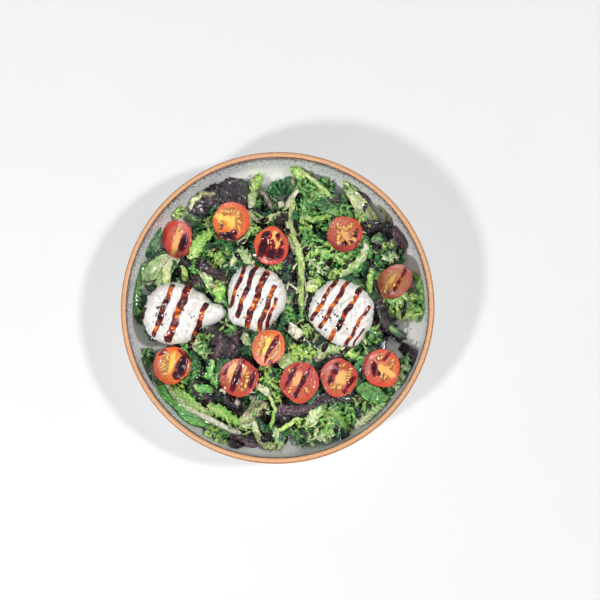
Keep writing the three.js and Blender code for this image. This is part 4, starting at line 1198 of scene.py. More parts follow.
def speckled_glaze(tree, look, where, drift, height):
    """The colour of the glaze, which greys and speckles up the wall, and where its specks are."""
    drifted = add_node(tree, "Math", MULTIPLY_ADD, {0: drift, 1: GLAZE_DRIFT, 2: height})
    thin = add_node(tree, "MapRange", EASED, {"Value": drifted, **GLAZE_THINS})
    glaze = add_node(tree, "Mix", MIX_COLOURS, {
        0: thin, MIX_A: look.floor_glaze, MIX_B: look.wall_glaze})
    grit = add_node(tree, "TexNoise", None, {
        "Vector": where, "Scale": 1 / look.speck_size, "Detail": 2})
    most = add_node(tree, "MapRange", None, {
        "Value": drifted, **SPECKS_GROW, "To Min": 0.68, "To Max": 0.47})
    above = add_node(tree, "Math", SUBTRACT, {0: grit, 1: most})
    specks = add_node(tree, "MapRange", EASED, {"Value": above, "From Max": 0.06})
    spots = add_node(tree, "TexVoronoi", None, {
        "Vector": where, "Scale": 1 / (4 * look.speck_size)})
    spot = add_node(tree, "MapRange", EASED, {
        "Value": spots, "From Min": 0.08, "From Max": 0.14, **FALLING})
    dark = add_node(tree, "Math", {"operation": "MAXIMUM"}, {0: specks, 1: spot})
    some = add_node(tree, "Math", MULTIPLY, {0: dark, 1: 0.85})
    speckled = add_node(tree, "Mix", MIX_COLOURS, {
        0: some, MIX_A: glaze.outputs[MIX_RESULT], MIX_B: look.speckle})
    return speckled.outputs[MIX_RESULT], dark.outputs[0]


def bare_clay(tree, look, grain, radius):
    """The colour of the clay: grainy, and painted darker at the outer edge of the lip as shade on its
    rounded edge.
    """
    tone = add_node(tree, "MapRange", None, {
        "Value": grain, **NOISE_SPAN, "To Min": 0.84, "To Max": 1.1})
    painted_edge_shade = add_node(tree, "MapRange", EASED, {"Value": radius, **LIP_SHADE_SPAN})
    shaded = add_node(tree, "Mix", MIX_COLOURS, {0: painted_edge_shade, MIX_A: look.clay, MIX_B: look.lip_edge_shade})
    clay = add_node(tree, "Mix", MULTIPLY_COLOURS, {
        0: 1.0, MIX_A: shaded.outputs[MIX_RESULT], MIX_B: tone})
    return clay.outputs[MIX_RESULT]


def stoneware_material(look):
    """Speckled stoneware: reactive glaze, thrown and dipped, with its lip and foot left bare.

    The eye gets a satin cream that greys and speckles as it thins up the wall, and matt tan clay that
    is painted darker at the lip's outer edge as shade.
    """
    material, tree, where = new_material("Speckled stoneware")
    place = add_node(tree, "SeparateXYZ", None, {0: where})
    height = place.outputs["Z"]
    flat = add_node(tree, "CombineXYZ", None, {"X": place.outputs["X"], "Y": place.outputs["Y"]})
    radius = add_node(tree, "VectorMath", {"operation": "LENGTH"}, {0: flat}).outputs["Value"]
    drift = add_node(tree, "TexNoise", None, {
        "Vector": where, "Scale": 1 / GLAZE_DRIFT_SIZE, "Detail": 3})
    grain = add_node(tree, "TexNoise", None, {
        "Vector": where, "Scale": 1 / CLAY_GRAIN, "Detail": 5, "Roughness": 0.6}).outputs["Fac"]
    glaze, specks = speckled_glaze(tree, look, where, drift, height)
    clay = bare_clay(tree, look, grain, radius)
    wobble = add_node(tree, "Math", MULTIPLY_ADD, {0: drift, 1: LIP_DRIFT, 2: radius})
    past = add_node(tree, "Math", SUBTRACT, {0: wobble, 1: look.band_inner})
    bare_top = add_node(tree, "MapRange", EASED, {
        "Value": past, "From Min": 0.2 * MM, "From Max": 0.6 * MM})
    band_end = BOWL_HEIGHT * MM - look.band_drop
    drop = add_node(tree, "MapRange", EASED, {
        "Value": height, "From Min": band_end - 0.3 * MM, "From Max": band_end + 0.3 * MM})
    bare_lip = add_node(tree, "Math", MULTIPLY, {0: bare_top, 1: drop})
    bare_foot = add_node(tree, "MapRange", EASED, {"Value": height, **FOOT_BARE, **FALLING})
    bare = add_node(tree, "Math", {"operation": "MAXIMUM"}, {0: bare_lip, 1: bare_foot})
    body = add_node(tree, "Mix", MIX_COLOURS, {0: bare, MIX_A: glaze, MIX_B: clay})
    from_line = add_node(tree, "Math", {"operation": "ABSOLUTE"}, {0: past})
    line = add_node(tree, "MapRange", EASED, {
        "Value": from_line, "From Min": 0.2 * MM, "From Max": 0.8 * MM, "To Min": 0.8,
        "To Max": 0.0})
    high = add_node(tree, "Math", {"operation": "GREATER_THAN"}, {0: height, 1: EDGE_LINE_Z})
    lined = add_node(tree, "Math", MULTIPLY, {0: line, 1: high})
    coloured = add_node(tree, "Mix", MIX_COLOURS, {
        0: lined, MIX_A: body.outputs[MIX_RESULT], MIX_B: look.edge_line})
    gloss = add_node(tree, "MapRange", None, {"Value": bare, "To Min": 0.32, "To Max": 0.42})
    ripple = add_node(tree, "Math", MULTIPLY_ADD, {0: specks, 1: -0.3, 2: grain})
    bumped = add_node(tree, "Bump", None, {
        "Height": ripple, "Strength": 0.25, "Distance": 0.4 * MM})
    return with_surface(material, {
        "Base Color": coloured.outputs[MIX_RESULT], "Roughness": gloss, "Normal": bumped,
        "IOR": 1.5})


class SALAD_OT_bowl(bpy.types.Operator):
    """Turns the stoneware bowl"""
    bl_idname = "salad.bowl"
    bl_label = "Stoneware bowl"

    def execute(self, context):
        points, faces = mesh_arrays(turned(bowl_profile(), BOWL_STEPS))
        mesh = mesh_from("stoneware_bowl", points, faces)
        add_piece(mesh, stoneware_material(context.scene.salad_bowl_look), "stoneware", "bowl")
        return {"FINISHED"}


# ---- Cherry tomatoes ---------------------------------------------------------------------------

TOMATO_SEGMENTS = 128
FACE_RINGS = 36
CHAMBER_DEPTH = 0.7
SEED_WIDTH_SHARE = 0.4
BLUSH = 0.3
RIM_UNEVENNESS = 0.018
PULP_GRAIN = 1.8 * MM


def tomato_profile():
    """Half a ball with a cut face, for a radius and a depth of 1."""
    dome = arc(0, 0, 1, -90, -6, 18)
    edge = [(1.0, -0.055), (0.995, -0.02), (0.975, 0.0)]
    face = [(0.96 * (1 - i / FACE_RINGS), 0) for i in range(FACE_RINGS + 1)]
    return dome + edge + face


def inside_patch(x, y, patch, roundness):
    """How far inside a rounded patch places lie: 1 in its middle, 0 on its outline."""
    across, along = turned_axes(x, y, patch[0], patch[1], patch[4])
    return 1 - np.abs(across / patch[2]) ** roundness - np.abs(along / patch[3]) ** roundness


def seed_field(cell, x, y, length, rng):
    """How much seed there is at places in a chamber."""
    middle_x, middle_y, half_across, half_along, direction, count = cell
    seeds = np.zeros_like(x)
    for i in range(count):
        at_along = ((i + 0.5 + rng.uniform(-0.25, 0.25)) / count * 2 - 1) * half_along * 0.85
        at_across = half_across * rng.uniform(-0.35, 0.35)
        at_x, at_y = turned_place(at_across, at_along, middle_x, middle_y, direction)
        turn = math.atan2(at_y, at_x) + rng.uniform(-0.4, 0.4)
        long, wide = length / 2 * rng.uniform(0.75, 1.1), length / 2 * SEED_WIDTH_SHARE
        dx, dy = x - at_x, y - at_y
        outward = (dx * math.cos(turn) + dy * math.sin(turn)) / long
        aside = (dy * math.cos(turn) - dx * math.sin(turn)) / wide * (1 - 0.4 * outward)
        seeds = np.maximum(seeds, np.clip(1.2 - outward ** 2 - aside ** 2, 0, 1))
    return seeds


def flesh_colours(tomato, look, x, y, share, broad):
    """The colours of the flesh of a cut face, ripest on one side, with its ring and its skin."""
    blush = math.radians(tomato.blush)
    toward = (x * math.cos(blush) + y * math.sin(blush)) / tomato.b
    ripe = np.clip(tomato.ripeness + BLUSH * toward + 0.12 * broad, 0, 1)
    flesh = blend(look.orange_flesh, look.red_flesh, ripe)
    inner = smooth(0.88, 0.55, share + 0.06 * broad) * (1 - 0.6 * ripe)
    flesh = blend(flesh, blend(look.yellow_core, look.core, ripe), 0.25 * inner)
    ring = blend(look.orange_ring, look.ring, ripe)
    flesh = blend(flesh, ring, 0.85 * np.exp(-(((share - 0.95) / 0.09) ** 2)))
    skin = blend(look.orange_skin, look.skin, ripe) * 0.8
    return blend(flesh, skin, smooth(0.965, 0.995, share)) * tomato.tone


def cut_face(tomato, look, x, y, share, rng):
    """The relief in mm and the colours of a cut face, at places and their shares of the rim."""
    phases = rng.uniform(0, TAU, 8)
    fibres = waves(x, y, 2.2, phases[:4])
    broad = waves(x, y, 9, phases[4:])
    warp_x, warp_y = x + 0.7 * waves(x, y, 6, phases[1:5]), y + 0.7 * waves(y, x, 6, phases[2:6])
    core = np.zeros_like(x)
    for patch in tomato.cores:
        core = np.maximum(core, smooth(-0.5, 0.6, inside_patch(warp_x, warp_y, patch, 2.2)))
    chamber, seeds = np.zeros_like(x), np.zeros_like(x)
    for cell in tomato.cells:
        within = smooth(0, 0.5, inside_patch(warp_x, warp_y, cell, 2.4))
        chamber = np.maximum(chamber, within)
        field = seed_field(cell, x, y, look.seed_length / MM, rng)
        seeds = np.maximum(seeds, field * smooth(0, 0.3, within))
    chamber = chamber * smooth(0.97, 0.86, share)
    seeds = seeds * smooth(0.97, 0.9, share)
    relief = (-CHAMBER_DEPTH * chamber + 0.9 * seeds + 0.12 * fibres * smooth(1, 0.9, share)
              - 0.5 * smooth(0.6, 1, share) + 0.25 * core)
    middle = blend(look.yellow_core, look.core, np.clip(tomato.ripeness * 1.3 - 0.3, 0, 1))
    flesh = flesh_colours(tomato, look, x, y, share, broad)
    tint = blend(flesh, middle * min(1, tomato.tone + 0.15), core)
    gel = blend(look.gel, look.red_gel, tomato.ripeness) * (1 - 0.15 * chamber)[:, None]
    tint = blend(tint, gel, chamber * 0.8)
    tint = blend(tint, look.seed, smooth(0.2, 0.6, seeds))
    return relief, tint * (1 + 0.07 * fibres + 0.05 * broad)[:, None]


def tomato_material(look):
    """Cut cherry tomato: wet flesh and jelly under a film of juice, in a waxy skin.

    The eye gets bright sharp glints on soft, deeply coloured flesh.
    """
    material, tree, where = new_material("Cut cherry tomato")
    tint = add_node(tree, "Attribute", {"attribute_name": "tint"})
    pulp = add_node(tree, "TexNoise", None, {"Vector": where, "Scale": 1 / PULP_GRAIN, "Detail": 4})
    tone = add_node(tree, "MapRange", None, {
        "Value": pulp, **NOISE_SPAN, "To Min": 0.92, "To Max": 1.07})
    coloured = add_node(tree, "Mix", MULTIPLY_COLOURS, {0: 1.0, MIX_A: tint, MIX_B: tone})
    gloss = add_node(tree, "MapRange", None, {
        "Value": pulp, **NOISE_SPAN, "To Min": 0.18, "To Max": 0.4})
    bumped = add_node(tree, "Bump", None, {"Height": pulp, "Strength": 0.4, "Distance": 0.5 * MM})
    film = add_node(tree, "TexNoise", None, {
        "Vector": where, "Scale": 1 / look.film_size, "Detail": 1})
    wet = add_node(tree, "Bump", None, {"Height": film, "Distance": 0.9 * MM})
    return with_surface(material, {
        "Base Color": coloured.outputs[MIX_RESULT], "Roughness": gloss, "Normal": bumped,
        "IOR": 1.4, "Subsurface Weight": 0.15, "Subsurface Scale": 1.5 * MM,
        "Subsurface Radius": (1.0, 0.35, 0.15), "Coat Weight": 0.9, "Coat Roughness": 0.04,
        "Coat Normal": wet})


def tomato_arrays(tomato, look, rng):
    """A tomato half in its place: points, faces and colours."""
    points, faces = mesh_arrays(turned(tomato_profile(), TOMATO_SEGMENTS))
    x, y, z = points.T
    share, angle = np.hypot(x, y), np.arctan2(y, x)
    uneven = [np.sin(k * angle + rng.uniform(0, TAU)) for k in (2, 3, 4, 5)]
    outline = 1 + sum(RIM_UNEVENNESS * wave for wave in uneven)
    x, y = x * tomato.a * outline, y * tomato.b * outline
    face = z > -1e-4
    relief, tint = cut_face(tomato, look, *turned_place(x, y, 0, 0, tomato.turn), share, rng)
    skin = blend(look.orange_skin, look.skin, np.full_like(x, tomato.ripeness))
    tint = np.where(face[:, None], tint, skin * (1 + 0.08 * waves(x, y, 9, (1, 2, 3)))[:, None])
    height = np.where(face, relief, z * tomato.depth)
    points = np.stack([x, y, height], axis=1)
    return placed(points, tomato_frame(tomato)), faces, np.clip(tint, 0, 1)


class SALAD_OT_tomatoes(bpy.types.Operator):
    """Cuts the cherry tomato halves"""
    bl_idname = "salad.tomatoes"
    bl_label = "Cherry tomato halves"

    def execute(self, context):
        look = context.scene.salad_tomato_look
        material = tomato_material(look)
        for i, tomato in enumerate(TOMATOES, 1):
            rng = np.random.default_rng((SEED, 3, i))
            points, faces, tint = tomato_arrays(tomato, look, rng)
            mesh = mesh_from(f"cherry_tomato_{i:02d}", points, faces, tint)
            add_piece(mesh, material, "tomato", f"tomato_half_{i:02d}")
        return {"FINISHED"}


# ---- Burratas ----------------------------------------------------------------------------------

# The unevenness of the torn edge is read round a ring. A squarer crown is flatter on top, and the
# strands' pattern is drawn out along them.
CURD_STEPS = (224, 112)
TORN_EDGE = 1.5
TEAR_SIZE = 16
TEAR_RING = 25
CROWN_SQUARENESS = 5.5
SWELL_HEIGHT = 0.9
FOLD_HEIGHT = 1.6
FOLD_TURN = 28
STRAND_SHORTNESS = 0.35
HUSK_GRAIN = 0.6 * MM
FLAKE_SIZE = (0.5, 1)
FLAKE_FLATNESS = 0.7


def fold_field(cheese, x, y):
    """Folds and creases of pulled curd, from -1 in a crease to 1 on a fold."""
    across, along = turned_axes(x, y, 0, 0, cheese.lean + FOLD_TURN)
    bend = 2.4 * np.sin(along / 8 + cheese.phase) + 1.4 * np.sin(along / 3.9 + across / 9)
    broad = np.abs(np.sin((across + bend) / 6.4 + cheese.phase)) ** 0.35
    narrow = np.abs(np.sin((across * 1.1 - bend * 0.6) / 2.7 + 2 * cheese.phase)) ** 0.4
    fine = waves(x, y, 6, (cheese.phase, 1.1, 2.9, 4.4))
    return 1.1 * broad + 0.4 * narrow - 1 + 0.18 * fine


def burrata_arrays(cheese):
    """A burrata in its place: points, faces, and how deep in a crease each point lies, which sets the
    shade painted in its creases.
    """
    bm = bmesh.new()
    bmesh.ops.create_uvsphere(bm, u_segments=CURD_STEPS[0], v_segments=CURD_STEPS[1], radius=1)
    points, faces = mesh_arrays(bm)
    x, y, z = points.T
    angle = np.arctan2(y, x)
    share = np.hypot(x, y)
    ring_x, ring_y = TEAR_RING * np.cos(angle), TEAR_RING * np.sin(angle)
    broad = np.abs(waves(ring_x, ring_y, TEAR_SIZE, (cheese.phase, 1.9, 3.3)))
    narrow = np.abs(waves(ring_x, ring_y, TEAR_SIZE / 3, (0.7, 2.2, cheese.phase)))
    nicks = np.abs(waves(ring_x, ring_y, TEAR_SIZE / 6, (cheese.phase, 0.4)))
    torn = TORN_EDGE * (0.8 * broad - 0.7 + 0.8 * (1 - broad) * narrow + 0.3 * narrow * nicks)
    reach = burrata_reach(cheese, angle) + torn * share ** 8
    x, y = x * reach, y * reach
    swell = np.sin(x / 4.5 + cheese.phase) * np.cos(y / 5.5 - cheese.phase)
    crown = np.sqrt(np.clip(1 - share ** CROWN_SQUARENESS, 0, 1))
    fold = fold_field(cheese, x, y)
    top = crown * (BURRATA_ABOVE + SWELL_HEIGHT * swell)
    top = top + FOLD_HEIGHT * fold * smooth(0, 0.25, 1 - share)
    height = np.where(z > 0.001, top, z * BURRATA_BELOW)
    points = np.stack([x + cheese.x, y + cheese.y, height + burrata_middle_z(cheese)], axis=1)
    return points, faces, smooth(0.05, -0.45, fold)


def curd_material(look):
    """Burrata: fresh stretched curd, wet with whey, pulled into strands by hand.

    The eye gets a soft milky white that glows and a moist sheen, with warm shade painted into the
    creases.
    """
    material, tree, where = new_material("Fresh burrata curd")
    mask = add_node(tree, "Attribute", {"attribute_name": "mask"})
    pull = math.radians(BURRATAS[0].lean + FOLD_TURN)
    pulled = add_node(tree, "Mapping", None, {
        "Vector": where, "Rotation": (0, 0, pull), "Scale": (1, STRAND_SHORTNESS, 1)})
    strands = add_node(tree, "TexNoise", None, {
        "Vector": pulled, "Scale": 1 / look.grain, "Detail": 5, "Roughness": 0.6})
    off = add_node(tree, "Math", SUBTRACT, {0: strands, 1: 0.5})
    apart = add_node(tree, "Math", {"operation": "ABSOLUTE"}, {0: off})
    wrinkle = add_node(tree, "MapRange", EASED, {
        "Value": apart, "From Max": 0.022, "To Min": 0.55, "To Max": 0.0})
    # Painted shade: the creases of the folds and the fine wrinkles are mixed towards the warm crease
    # colour.
    uneven = add_node(tree, "Math", MULTIPLY_ADD, {0: mask.outputs["Fac"], 1: strands, 2: wrinkle})
    shade = add_node(tree, "Math", {"operation": "MINIMUM"}, {0: uneven, 1: 1.0})
    coloured = add_node(tree, "Mix", MIX_COLOURS, {0: shade, MIX_A: look.curd, MIX_B: look.crease})
    gloss = add_node(tree, "MapRange", None, {
        "Value": strands, **NOISE_SPAN, "To Min": 0.3, "To Max": 0.5})
    bumped = add_node(tree, "Bump", None, {
        "Height": wrinkle, "Strength": 0.8, "Distance": -0.7 * MM})
    return with_surface(material, {
        "Base Color": coloured.outputs[MIX_RESULT], "Roughness": gloss, "Normal": bumped,
        "IOR": 1.4, "Subsurface Weight": 0.35, "Subsurface Scale": 2 * MM,
        "Subsurface Radius": (1.0, 0.8, 0.65), "Coat Weight": 0.2, "Coat Roughness": 0.2})


def pepper_material(look):
    """Cracked black pepper: dry, rough husk. The eye gets matt dark specks."""
    material, tree, where = new_material("Cracked black pepper")
    husk = add_node(tree, "TexNoise", None, {"Vector": where, "Scale": 1 / HUSK_GRAIN})
    tone = add_node(tree, "Mix", MIX_COLOURS, {0: husk, MIX_A: look.pepper, MIX_B: look.husk})
    return with_surface(material, {"Base Color": tone.outputs[MIX_RESULT], "Roughness": 0.8})


def surface_of(piece):
    """A piece's surface for finding what lies under a place, in metres."""
    return BVHTree.FromObject(piece, bpy.context.evaluated_depsgraph_get())


SKY_Z = 100


def height_under(trees, x, y):
    """The height in mm of the topmost surface under a place, or None."""
    hits = [tree.ray_cast(Vector((x * MM, y * MM, SKY_Z * MM)), Vector((0, 0, -1)))[0]
            for tree in trees]
    return max([hit.z / MM for hit in hits if hit is not None], default=None)


def heights_under(trees, x, y, otherwise):
    """The same heights under places, with another for each place that has no surface under it."""
    heights = [height_under(trees, *place) for place in zip(x, y)]
    return np.array([other if z is None else z for z, other in zip(heights, otherwise)])


def pepper_mesh(name, cheese, tree, rng):
    """Flakes of pepper on a burrata, joined."""
    bm = bmesh.new()
    bmesh.ops.create_icosphere(bm, subdivisions=1, radius=1)
    flake, faces = mesh_arrays(bm)
    faces = np.array(faces)
    patches = []
    for x, y, half_x, half_y, count in cheese.pepper:
        for _ in range(count):
            px = cheese.x + x + rng.normal() * half_x * 0.6
            py = cheese.y + y + rng.normal() * half_y * 0.6
            z = height_under([tree], px, py)
            if z is None:
                continue
            size = rng.uniform(*FLAKE_SIZE, 3) * (1, 1, FLAKE_FLATNESS)
            shape = flake * size * (1 + 0.25 * rng.uniform(-1, 1, flake.shape))
            patches.append((shape + (px, py, z + 0.1), faces))
    points, faces = joined(patches)
    return mesh_from(name, points, faces)


class SALAD_OT_burratas(bpy.types.Operator):
    """Shapes the burratas and peppers them"""
    bl_idname = "salad.burratas"
    bl_label = "Burratas"

    def execute(self, context):
        look = context.scene.salad_cheese_look
        curd, pepper = curd_material(look), pepper_material(look)
        for i, cheese in enumerate(BURRATAS, 1):
            node = f"burrata_{i:02d}"
            points, faces, crease = burrata_arrays(cheese)
            piece = add_piece(mesh_from(f"burrata_curd_{i:02d}", points, faces, mask=crease),
                              curd, "burrata", node)
            rng = np.random.default_rng((SEED, 4, i))
            flakes = pepper_mesh(f"pepper_{i:02d}", cheese, surface_of(piece), rng)
            add_piece(flakes, pepper, "burrata", node)
        return {"FINISHED"}


# ---- Balsamic drizzle --------------------------------------------------------------------------

POOL_CUTS = 7
POOL_FLATNESS = 3
POOL_RISE = 0.7
POOL_DEPTH = 0.8
POOL_SUNK = 0.35
POOL_RANGE = (-0.3, 2.5)
PAST_RIM = 2
STRIP_STEP = 0.4
STRIP_ACROSS = 10
STRIP_SINK = 0.5
BEAD_THICKNESS = 1.5
FILM_THICKNESS = 0.5
BEAD_SPACING = 15
LEAN_SPACING = 10
SKIN_DROP = 6
STRIPE_DROP = 2
LEAF_STEP = 2

# The glaze's colours by thickness as a share of a bead's, over what it lies on.
ON_CHEESE = [(0.1, "edge"), (0.26, "thin"), (0.45, "middle"), (0.75, "thick"), (1.05, "bead")]
ON_TOMATO = [(0, "wine"), (0.5, "syrup"), (1.3, "bead")]
ON_LEAVES = [(0, "brown"), (0.5, "bead")]

# Drizzle on the leaves: x, y, half width, half length, direction and thickness.
LEAF_DRIZZLE = [
    (-76, 25.5, 2, 6.4, 8, 1.8), (22.5, 42, 2.6, 3.2, 60, 1.8), (31.2, 36, 1.8, 2.2, 0, 1.5),
    (40, 32.5, 2, 5, 38, 1.8), (36, 25, 1.5, 1.7, 0, 1.3), (52, 29, 2, 2, 0, 1.6),
    (57, 34, 1.5, 4.6, 62, 1.4), (96.5, -4.5, 1.9, 7.4, 8, 2), (-56, -48, 2.4, 6.2, 2, 2),
    (-51.5, -39, 1.5, 1.8, 0, 1.5), (-28.5, -22.5, 2, 3.6, 22, 1.6),
    (-32.6, -28.4, 1.4, 1.6, 0, 1.4), (-11.7, -52.5, 2.8, 3.2, 0, 1.8),
    (-7.8, -100.4, 4.2, 4.4, 0, 2.6), (-8.8, -85, 3, 6.6, -6, 1.8), (7, -17, 1.6, 4, 35, 1.5),
    (18, -26.5, 1.6, 5.4, 40, 1.6), (26.6, -25.4, 1.8, 4.6, 34, 1.7), (37, -31, 2.1, 6, 32, 1.8),
    (52, -35, 2, 5, 42, 1.8), (14.6, 61, 1.8, 6.6, -16, 1.5), (8, 57, 2.2, 3, 20, 1.6),
    (17, 51, 1.6, 3.6, -20, 1.3), (12.6, 25, 1.8, 5, -8, 1.4), (-44, -3, 1.6, 3, 20, 1.3),
    (82, -4.5, 1.8, 3.6, 60, 1.6), (63.6, -47, 1.2, 1.2, 0, 1.2), (-46, 44, 2.6, 5.4, 30, 1.6),
    (-30, 38, 1.8, 4, -40, 1.5), (-26, 49, 2.2, 4.4, 60, 1.6), (-10, 66.6, 2, 4, 80, 1.4),
    (-60, 32.5, 1.8, 4.4, 30, 1.5), (14, 6, 1.8, 5, 30, 1.4), (7, 43, 1.6, 3.2, 0, 1.3),
    (43, 40, 1.5, 2.4, 60, 1.3), (-66, -31, 2, 2.4, 0, 1.5), (-30, -40, 1.6, 3.4, 10, 1.4),
    (0, -46, 1.4, 2.2, 0, 1.3), (-59, -57, 1.6, 4, 10, 1.4), (-44, -63, 1.8, 3, 50, 1.4),
    (20, -84, 1.8, 3.4, 70, 1.4), (65, -53, 2.4, 4.4, 10, 1.6), (5.8, 67, 2.6, 3.6, 30, 1.6),
    (-33, -71, 3, 4, 20, 1.8), (-27, -78.5, 2.2, 2.8, 0, 1.5), (45, -95, 1.8, 3.4, 10, 1.5),
    (-50, -31, 2.2, 2.6, 0, 1.6), (33, 46, 1.6, 3, 70, 1.4),
]


def beading(count, rng, size):
    """An uneven run from 0, where the glaze is drawn thin, to 1, where it stands in a bead."""
    place = np.arange(count) * STRIP_STEP
    swings = zip((1, 0.6, 0.8), (1, 0.43, 2.3), rng.uniform(0, TAU, 3))
    run = sum(height * np.sin(TAU * place / (size * pitch) + phase)
              for height, pitch, phase in swings)
    return smooth(-1.5, 1.5, run)


def stripe_path(cheese, across, start, end, rng):
    """Points of a stripe, a step apart, in the direction that the drizzle runs."""
    along = np.linspace(start, end, max(int(abs(end - start) / STRIP_STEP), 6))
    sway = 0.5 * np.sin(along / 3.3 + rng.uniform(0, TAU)) + 0.2 * np.sin(along / 1.4 + across)
    return np.stack(turned_place(across + sway, along, cheese.x, cheese.y, cheese.lean), axis=1)


def strip(tree, path, width, thinness, rng, lowest):
    """A stripe of glaze laid on a surface: points, faces and how thick the glaze is."""
    count = len(path)
    run = beading(count, rng, BEAD_SPACING) * (1 - thinness)
    pull = beading(count, rng, LEAN_SPACING)
    share, side, faces = grid(count - 1, STRIP_ACROSS)
    index = np.rint(share * (count - 1)).astype(int)
    ahead = np.gradient(path, axis=0)
    ahead = ahead / np.linalg.norm(ahead, axis=1)[:, None]
    ends = np.clip(1 - (2 * share - 1) ** 30, 0, 1)
    half = width * (0.5 + 0.13 * run[index]) * (0.6 + 0.4 * ends) * side
    x = path[index, 0] - ahead[index, 1] * half
    y = path[index, 1] + ahead[index, 0] * half
    z = np.maximum(heights_under([tree], x, y, np.full(len(x), lowest)), lowest)
    lopsided = 1 + 0.5 * (2 * pull[index] - 1) * side
    dome = np.sqrt(np.clip(1 - side ** 2, 0, 1)) * np.sqrt(ends)
    thick = FILM_THICKNESS + (BEAD_THICKNESS - FILM_THICKNESS) * run[index] ** 1.3
    rise = 0.75 * thick * dome * np.clip(lopsided, 0.2, 1.3) - 0.1
    film = 0.2 + 0.3 * side ** 2
    shown = (film + (1.1 - 0.5 * side ** 4 - film) * run[index]) * np.clip(lopsided, 0.4, 1.3)
    return np.stack([x, y, z + rise], axis=1), faces, shown * BEAD_THICKNESS


def pool(ground, x, y, half_across, half_along, direction, thickness, rng):
    """A pool of glaze on the ground: a closed, squashed ball that is half sunk into it."""
    bm = bmesh.new()
    bmesh.ops.create_cube(bm, size=2)
    bmesh.ops.subdivide_edges(bm, edges=bm.edges, cuts=POOL_CUTS, use_grid_fill=True)
    points, faces = mesh_arrays(bm)
    points = points / np.linalg.norm(points, axis=1)[:, None]
    angle = np.arctan2(points[:, 1], points[:, 0])
    lobes = zip((0.08, 0.06, 0.04), (2, 3, 5), rng.uniform(0, TAU, 3))
    outline = 1 + sum(height * np.sin(count * angle + phase) for height, count, phase in lobes)
    across, along = points[:, 0] * outline * half_across, points[:, 1] * outline * half_along
    px, py = turned_place(across, along, x, y, direction)
    up = points[:, 2]
    dome = np.sqrt(np.clip(1 - np.hypot(points[:, 0], points[:, 1]) ** POOL_FLATNESS, 0, 1))
    rise = np.where(up > 0, dome * thickness * POOL_RISE, up * POOL_DEPTH)
    shown = thickness * np.minimum(1.2 * up ** 2, 1)
    return np.stack([px, py, ground(px, py) + rise], axis=1), np.array(faces), shown


def face_ground(tomato, tree):
    """The ground for pools on a tomato: its cut face as a plane, or its skin past the rim."""

    def ground(px, py):
        plane = face_height(tomato, px, py) - POOL_SUNK
        skin = heights_under([tree], px, py, plane - SKIN_DROP)
        return np.where(skin < plane - PAST_RIM, np.maximum(skin, plane - SKIN_DROP), plane)

    return ground


def leaf_ground(trees, x, y):
    """The ground for a pool on the leaves round a place: their tops, with a sloping plane under."""
    steps = (-LEAF_STEP, 0, LEAF_STEP)
    around = np.array([(x + dx, y + dy, 1) for dx in steps for dy in steps])
    tops = heights_under(trees, around[:, 0], around[:, 1], np.full(9, float(heap_top(x, y))))
    plane, *_ = np.linalg.lstsq(around, tops, rcond=None)

    def ground(px, py):
        level = plane[0] * px + plane[1] * py + plane[2]
        return np.clip(heights_under(trees, px, py, level) - level, *POOL_RANGE) + level

    return ground


def glaze_material(look):
    """Balsamic glaze: a thick syrup that is clear red-brown where thin and nearly black in beads.

    The eye gets amber edges, dark middles and very sharp highlights.
    """
    material, tree, where = new_material("Balsamic glaze")
    tint = add_node(tree, "Attribute", {"attribute_name": "tint"})
    drift = add_node(tree, "TexNoise", None, {
        "Vector": where, "Scale": 1 / look.ripple, "Detail": 1})
    tone = add_node(tree, "MapRange", None, {
        "Value": drift, **NOISE_SPAN, "To Min": 0.8, "To Max": 1.25})
    coloured = add_node(tree, "Mix", MULTIPLY_COLOURS, {0: 1.0, MIX_A: tint, MIX_B: tone})
    bumped = add_node(tree, "Bump", None, {"Height": drift, "Distance": 0.6 * MM})
    return with_surface(material, {
        "Base Color": coloured.outputs[MIX_RESULT], "Normal": bumped, "IOR": 1.5,
        "Roughness": 0.05})


def glaze_piece(name, patches, look, stops, material, slot, node):
    """Joins glaze into one piece, coloured by how thick it is through stops of share and colour."""
    points, faces, depth = joined(patches)
    uneven = 0.16 * waves(points[:, 0], points[:, 1], 6, (0.4, 2.2, 5.1))
    shares = [share for share, _ in stops]
    colours = np.array([getattr(look, colour) for _, colour in stops])
    shown = depth / BEAD_THICKNESS + uneven
    tint = np.stack([np.interp(shown, shares, channel) for channel in colours.T], axis=1)
    return add_piece(mesh_from(name, points, faces, tint), material, slot, node)


